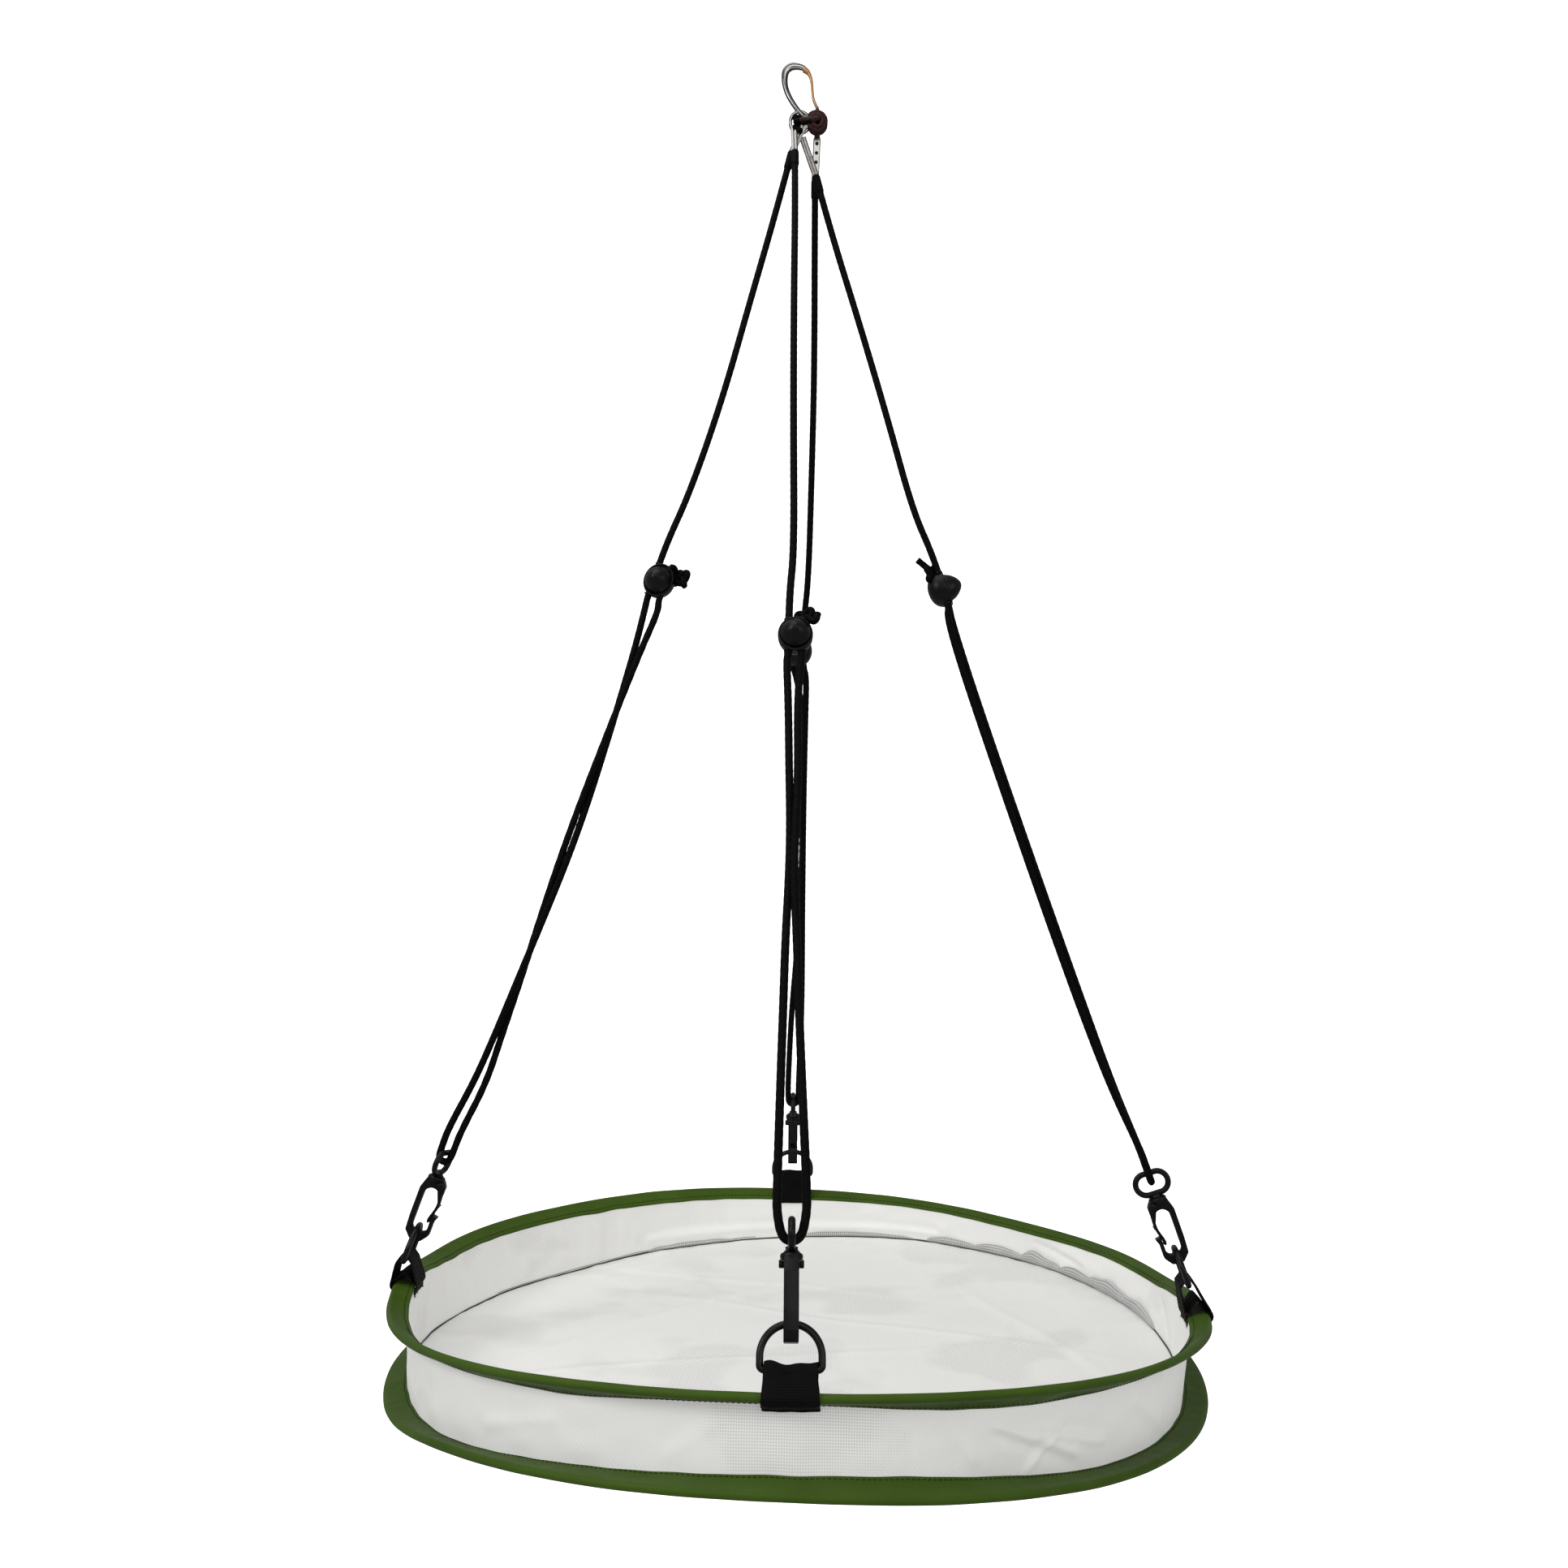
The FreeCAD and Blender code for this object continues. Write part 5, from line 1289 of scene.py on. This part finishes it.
def makeCords(side):
    place = legFrames[side]
    local = place["lockPlace"]

    def spot(x, y, z):
        return np.array(local @ Vector((x * mm, y * mm, z * mm)))

    # upper cord, from the link's end into the lock
    start = place["top"] + place["upperDown"] * cords["linkEnd"][side] * mm
    start = start + np.array([cords["linkShift"][side] * mm, 0, 0])
    end = spot(0, -lock["strand"], lock["holeTop"] - cords["enter"])
    points = [start + (end - start) * share + np.array([sway - cords["linkShift"][side] * (1 - share), 0, 0]) * mm
              for share, sway in cords["sway"][side]]
    line = routeLine("upper_route", [start] + points + [end + (start - end) * 0.05, end])
    upper = cordObject("cord_top_" + side, line)
    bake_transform(upper)
    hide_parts("cord_upper_" + side)

    # loop below the lock: down, round the eye's upper bar and back up to the knot
    reach = place["reach"] / mm - (eye["centre"] + eye["halfHeight"])
    half, wide = lock["strand"], cords["loopHalf"][side]
    strands = []
    for sign in (-1, 1):
        strand = []
        for share, sway, gap, degrees in cords["loop"][side]:
            angle = math.radians(degrees)
            gap = gap * cords["strandGap"]
            point = spot(sign * gap * math.sin(angle), sign * gap * math.cos(angle), -reach * share)
            strand.append(point + np.array([sway * mm, 0, 0]))
        strands.append(strand)
    under, (high, low) = cords["underLock"], cords["overEye"]
    route = [spot(0, -half, cords["loopStart"]), spot(0, -half, -under)] + strands[0]
    drop = cords["loopDrop"][side]
    bend = wide * cords["loopBend"][side]
    route += [spot(0, -wide, -reach + high), spot(0, -wide, -reach + low), spot(0, -bend, -reach - drop),
              spot(0, bend, -reach - drop), spot(0, wide, -reach + low), spot(0, wide, -reach + high)]
    route += strands[1][::-1] + [spot(0, half, -under), spot(0, half, cords["loopEnd"])]
    line = routeLine("loop_route", route)
    loop = cordObject("cord_low_" + side, line)
    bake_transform(loop)
    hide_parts("cord_loop_" + side)

    # sleeve over the cord's end at the link
    down = unit(points[0] - start)
    sleeveLine = evenSteps(np.array([start - down * whipping["above"] * mm,
                                     start + down * whipping["below"] * mm]), 0.0004)
    count = np.arange(len(sleeveLine))
    ends = np.minimum(np.minimum(count, count[::-1]) / 4, 1)
    radius = whipping["radius"] + whipping["ridge"] * np.abs(np.sin(count * 0.9))
    radius = radius * np.sqrt(0.5 + 0.5 * ends) * mm
    whip = makePiece("whipping_" + side, tubeParts(sleeveLine, radius, 20), blackCord, 60)
    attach(whip, "leg_" + side)


for side in sides:
    makeCords(side)
print("cords made")


# Snap hook at the top: a pear-shaped bow with an eyelet below, a thin sprung gate, four flat
# links in the eyelet, and a dark cord wound and knotted through it

snap = {
    # x, z and wire radius along the bow, from the nose over the top and down to the eyelet
    "bow": ((4.0, -2.4, 1.6), (1.2, -0.2, 2.2), (-3.4, 1.0, 2.6), (-8.4, 0.6, 3.0), (-12.2, -2.8, 3.0),
            (-13.3, -8.8, 2.6), (-12.7, -15.5, 2.3), (-10.4, -22.5, 2.2), (-6.6, -29.5, 2.1),
            (-2.4, -35.5, 2.0), (1.6, -40.2, 1.8)),
    "eyelet": {"x": -0.5, "z": -45.6, "halfWidth": 8.0, "halfHeight": 9.0, "radius": 1.4},
    "ear": ((13.0, -34.0), (12.4, -39.0), (9.4, -43.6), (6.2, -47.0)),
    "earRadius": 1.5,
    "gate": ((2.2, -1.4), (5.6, -4.4), (7.6, -9.0), (8.6, -15.0), (9.0, -21.0), (10.0, -27.0), (12.2, -32.4),
             (13.0, -34.4)),
    "gateWidth": 4.4, "gateThick": 2.5,
    "links": {"front": (-5.6, -4.0, -51.5), "left": (5.0, -5.4, -44.5), "right": (1.6, -1.0, -59.5),
              "back": (13.0, 5.5, -54.5)},     # where each link's upper end lies
    "linkHalf": 2.7, "linkThick": 1.4, "pierced": ("back",), "holes": 4, "holeRadius": 1.25, "holePitch": 7.2,
    "lowestHole": 8.5, "railPlace": 1.15, "railWidth": 1.5, "railDepth": 2.5,
}


def makeSnap():
    path = softLine(snap["bow"], 0.5)
    line = np.stack([path[:, 0], path[:, 0] * 0, path[:, 1]], 1)
    parts = [tubeParts(line * mm, path[:, 2] * mm, 24)]
    ring = snap["eyelet"]
    turn = fullTurn(60)
    line = np.stack([ring["x"] + ring["halfWidth"] * np.cos(turn), 0.8 * np.sin(2 * turn),
                     ring["z"] + ring["halfHeight"] * np.sin(turn)], 1)
    parts.append(tubeParts(line * mm, ring["radius"] * mm, 18, closed=True))
    line = softLine([(x, 0, z) for x, z in snap["ear"]], 0.5)
    parts.append(tubeParts(line * mm, snap["earRadius"] * mm, 18))
    # the bow's steel carries painted reflection lines in its colour
    bow = makePiece("snap_bow", joinParts(parts), reflectionPaintedSteel, 60)
    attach(bow, "carabiner")
    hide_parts("main_carabiner")

    line = softLine([(x, z, 0) for x, z in snap["gate"]], 0.4)[:, :2]
    share = np.linspace(0, 1, len(line))
    thick = snap["gateThick"] * (1 - 0.3 * share + 0.7 * np.exp(-(share / 0.12) ** 2))
    gate = makePiece("snap_gate", stripParts(line, thick, snap["gateWidth"]), warmSteel, 60)
    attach(gate, "gate")
    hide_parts("carabiner_gate")


def makeLink(side):
    # flat steel link from the eyelet down to the cord's end, over a darker strip
    place = legFrames[side]
    end = place["top"] + place["upperDown"] * cords["linkEnd"][side] * mm
    end = (end + np.array([cords["linkShift"][side] * mm, 0, 0])) / mm
    start = np.array(snap["links"][side])
    down = unit(end - start)
    length = np.linalg.norm(end - start) + 2.0
    broad = unit(np.cross(down, (0, 1, 0)))
    local = placeMatrix(start * mm, broad, np.cross(-down, broad), -down)
    half = snap["linkHalf"]
    name = "link_" + side
    if side in snap["pierced"]:
        plate = half - 0.3
        outlines = [roundedOutline([(-plate, 1.5, 1.6), (plate, 1.5, 1.6),
                                    (plate, -length, 1.2), (-plate, -length, 1.2)])]
        for number in range(snap["holes"]):
            level = -length + snap["lowestHole"] + number * snap["holePitch"]
            outlines.append([(snap["holeRadius"] * math.cos(a), level + snap["holeRadius"] * math.sin(a))
                             for a in fullTurn(18)])
        mesh = plateMesh(name, outlines, snap["linkThick"], 0.25, local)
        lining = stripParts([(x, -length / 2) for x in np.linspace(-half - 0.2, half + 0.2, 5)], length - 2, 0.6)
        backing = blackPlastic
    else:
        # two rails beside a dark groove
        rails = [stripParts([(x, 0.5 - step * (length + 0.5) / 20) for step in range(21)],
                            snap["railWidth"], snap["railDepth"])
                 for x in (-snap["railPlace"], snap["railPlace"])]
        lining = stripParts([(0, 1.2 - step * (length + 1.0) / 20) for step in range(21)], 2 * half, 1.0)
        mesh = meshFrom(name, *movedBy(local, joinParts(rails)))
        backing = polishedSteel
    liner = makePiece("link_lining_" + side, movedBy(local, lining), backing, 40)
    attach(liner, "leg_" + side)
    link = addObject(name, mesh, linkSteel, 40)
    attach(link, "leg_" + side)
    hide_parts("top_link_" + side)


gather = {
    "x": 12.6, "z": -47.5, "inner": 2.2, "outer": 7.6, "turns": 2.4, "radius": 2.15, "near": -5.5, "far": 4.0,
    "lead": [(-3.0, -2.0, -45.5), (3.0, -6.0, -46.0), (8.5, -6.8, -47.0)],     # from the eyelet into the winding
    # x, y, z and turn in degrees of each knot in the eyelet
    "knots": ((-2.4, -2.4, -44.6, 20), (3.6, -3.2, -46.2, 110), (-2.2, -2.6, -51.4, 65)),
    "knotSize": 1.1, "knotRadius": 2.15, "knotDepth": 0.22, "bulge": 1.8, "tall": 1.15,
}


def knotLine(x, y, z, degrees, size):
    # overhand knot, turned in the plane that faces the front
    t = np.linspace(-2.1, 2.1, 16)
    across, up, through = overhand(t)
    flat = np.stack([size * across, gather["knotDepth"] * through, -size * up - 1.6 * size], 1)
    angle = math.radians(degrees)
    turned = np.stack([flat[:, 0] * math.cos(angle) - flat[:, 2] * math.sin(angle), flat[:, 1],
                       flat[:, 0] * math.sin(angle) + flat[:, 2] * math.cos(angle)], 1)
    return softLine(turned + np.array([x, y, z]), 0.6)


def makeGather():
    # a spiral in front of the ear, and back again behind it
    turns = np.linspace(0, gather["turns"] * 2 * math.pi, 60)
    reach = gather["inner"] + (gather["outer"] - gather["inner"]) * (turns / turns[-1])
    near = np.stack([gather["x"] + reach * np.cos(turns), gather["near"] + gather["bulge"] * (turns / turns[-1]) ** 2,
                     gather["z"] + gather["tall"] * reach * np.sin(turns)], 1)
    far = near[::-1].copy()
    far[:, 1] = np.linspace(near[-1, 1] + 1.5, gather["far"], len(far))
    line = evenSteps(np.concatenate([np.array(gather["lead"]), near[4:], far[3:]]), 0.6)
    woundParts = tubeParts(line * mm, gather["radius"] * mm, 16, braid=0.07)
    wound = makePiece("gather_wrap", woundParts, gatherCordLook, 60)
    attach(wound, "rig")
    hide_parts("gather_cord")
    parts = [tubeParts(knotLine(*spot, gather["knotSize"]) * mm, gather["knotRadius"] * mm, 16, braid=0.06)
             for spot in gather["knots"]]
    tied = makePiece("gather_tie", joinParts(parts), blackCord, 60)
    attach(tied, "rig")
    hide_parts("gather_knot")


makeSnap()
for side in sides:
    makeLink(side)
makeGather()
print("top made")


# Materials of the CAD nodes that stay as they are

keptNodes = {"carabiner_gate_pin": (polishedSteel, "polished_steel")}
for side in sides:
    keptNodes["d_ring_" + side] = (coatedMetal, "black_metal")
    keptNodes["lock_spring_" + side] = (springSteel, "spring_steel")
for name, (material, slotName) in keptNodes.items():
    node = frame["nodes"][name]
    for slot in node.material_slots:
        slot.material = material
print("kept nodes dressed")


# Camera, floor and light

view = {"place": (0, -1.1667, -0.6717), "forward": (-0.0076, 0.9965, 0.084), "roll": 0.0088,
        "lens": 35.09, "sensor": 36.0, "pixels": 1932}


def makeCamera():
    # solved from the hoops' outlines and the legs' routes in the photo
    forward = unit(view["forward"])
    right = unit(np.cross(forward, (0, 0, 1)))
    up = np.cross(right, forward)
    upRolled = unit(up - view["roll"] * right)
    rightRolled = unit(right + view["roll"] * up)
    data = bpy.data.cameras.new("camera")
    data.sensor_width = view["sensor"]
    data.lens = view["lens"]
    camera = bpy.data.objects.new("camera", data)
    camera.matrix_world = placeMatrix(view["place"], rightRolled, upRolled, -forward)
    scene.collection.objects.link(camera)
    scene.camera = camera
    scene.render.resolution_x = scene.render.resolution_y = view["pixels"]


studio = {
    "floorGlow": 0.14, "floorSeen": 0.83, "floorUnseen": 0.45, "world": 0.36,
    # y and z of the floor's line, from in front of the tray to the top of the wall behind it
    "floorLine": [(-4.0, -1.45), (1.4, -1.45), (2.5, -1.35), (3.1, -0.7), (3.2, 2.5)],
    # place, target, size in metres and power in watts
    "lamps": {"overhead": ((-0.5, -0.5, 1.3), (0, 0, -0.9), 1.8, 26.0),
              "key": ((-1.9, -1.5, 0.5), (0, 0, -0.9), 0.9, 30.0),
              "fill": ((2.2, -1.8, 0.0), (0, 0, -0.8), 1.4, 17.0),
              "front": ((0.3, -2.6, 0.5), (0, 0, -0.9), 1.2, 12.0)},
}


def makeStage():
    # pale floor that turns up into a wall behind the tray
    profile = softLine([(y, z, 0) for y, z in studio["floorLine"]], 0.08)
    columns, count = 12, len(profile)
    x = np.linspace(-5, 5, columns)
    points = np.stack([np.broadcast_to(x, (count, columns)),
                       np.broadcast_to(profile[:, :1], (count, columns)),
                       np.broadcast_to(profile[:, 1:2], (count, columns))], 2)
    material, tree, shader = newMaterial("paleFloor")
    shader.inputs["Roughness"].default_value = 0.9
    shader.inputs["Specular IOR Level"].default_value = 0.1
    shader.inputs["Emission Color"].default_value = (1, 1, 1, 1)
    # the floor looks white to the camera and lights the tray only a little
    seen = newNode(tree, "ShaderNodeLightPath").outputs["Is Camera Ray"]
    tree.links.new(mathNode(tree, "MULTIPLY_ADD", seen, studio["floorSeen"], studio["floorGlow"]),
                   shader.inputs["Emission Strength"])
    dim = studio["floorUnseen"]
    tree.links.new(blendColor(tree, seen, (dim, dim, dim), (0.9, 0.9, 0.9)), shader.inputs["Base Color"])
    makePiece("floor", gridParts(points, np.zeros(count + 1), np.zeros(columns + 1)), material)

    world = bpy.data.worlds.new("studio")
    scene.world = world
    world.use_nodes = True
    background = world.node_tree.nodes["Background"]
    background.inputs["Color"].default_value = (1, 1, 1, 1)
    background.inputs["Strength"].default_value = studio["world"]
    for name, (where, target, size, power) in studio["lamps"].items():
        data = bpy.data.lights.new(name, "AREA")
        data.size = size
        data.energy = power
        lamp = bpy.data.objects.new(name, data)
        lamp.location = where
        lamp.rotation_euler = (Vector(target) - Vector(where)).to_track_quat("-Z", "Y").to_euler()
        scene.collection.objects.link(lamp)
    scene.view_settings.view_transform = "Standard"


makeCamera()
makeStage()
print("camera and light set")
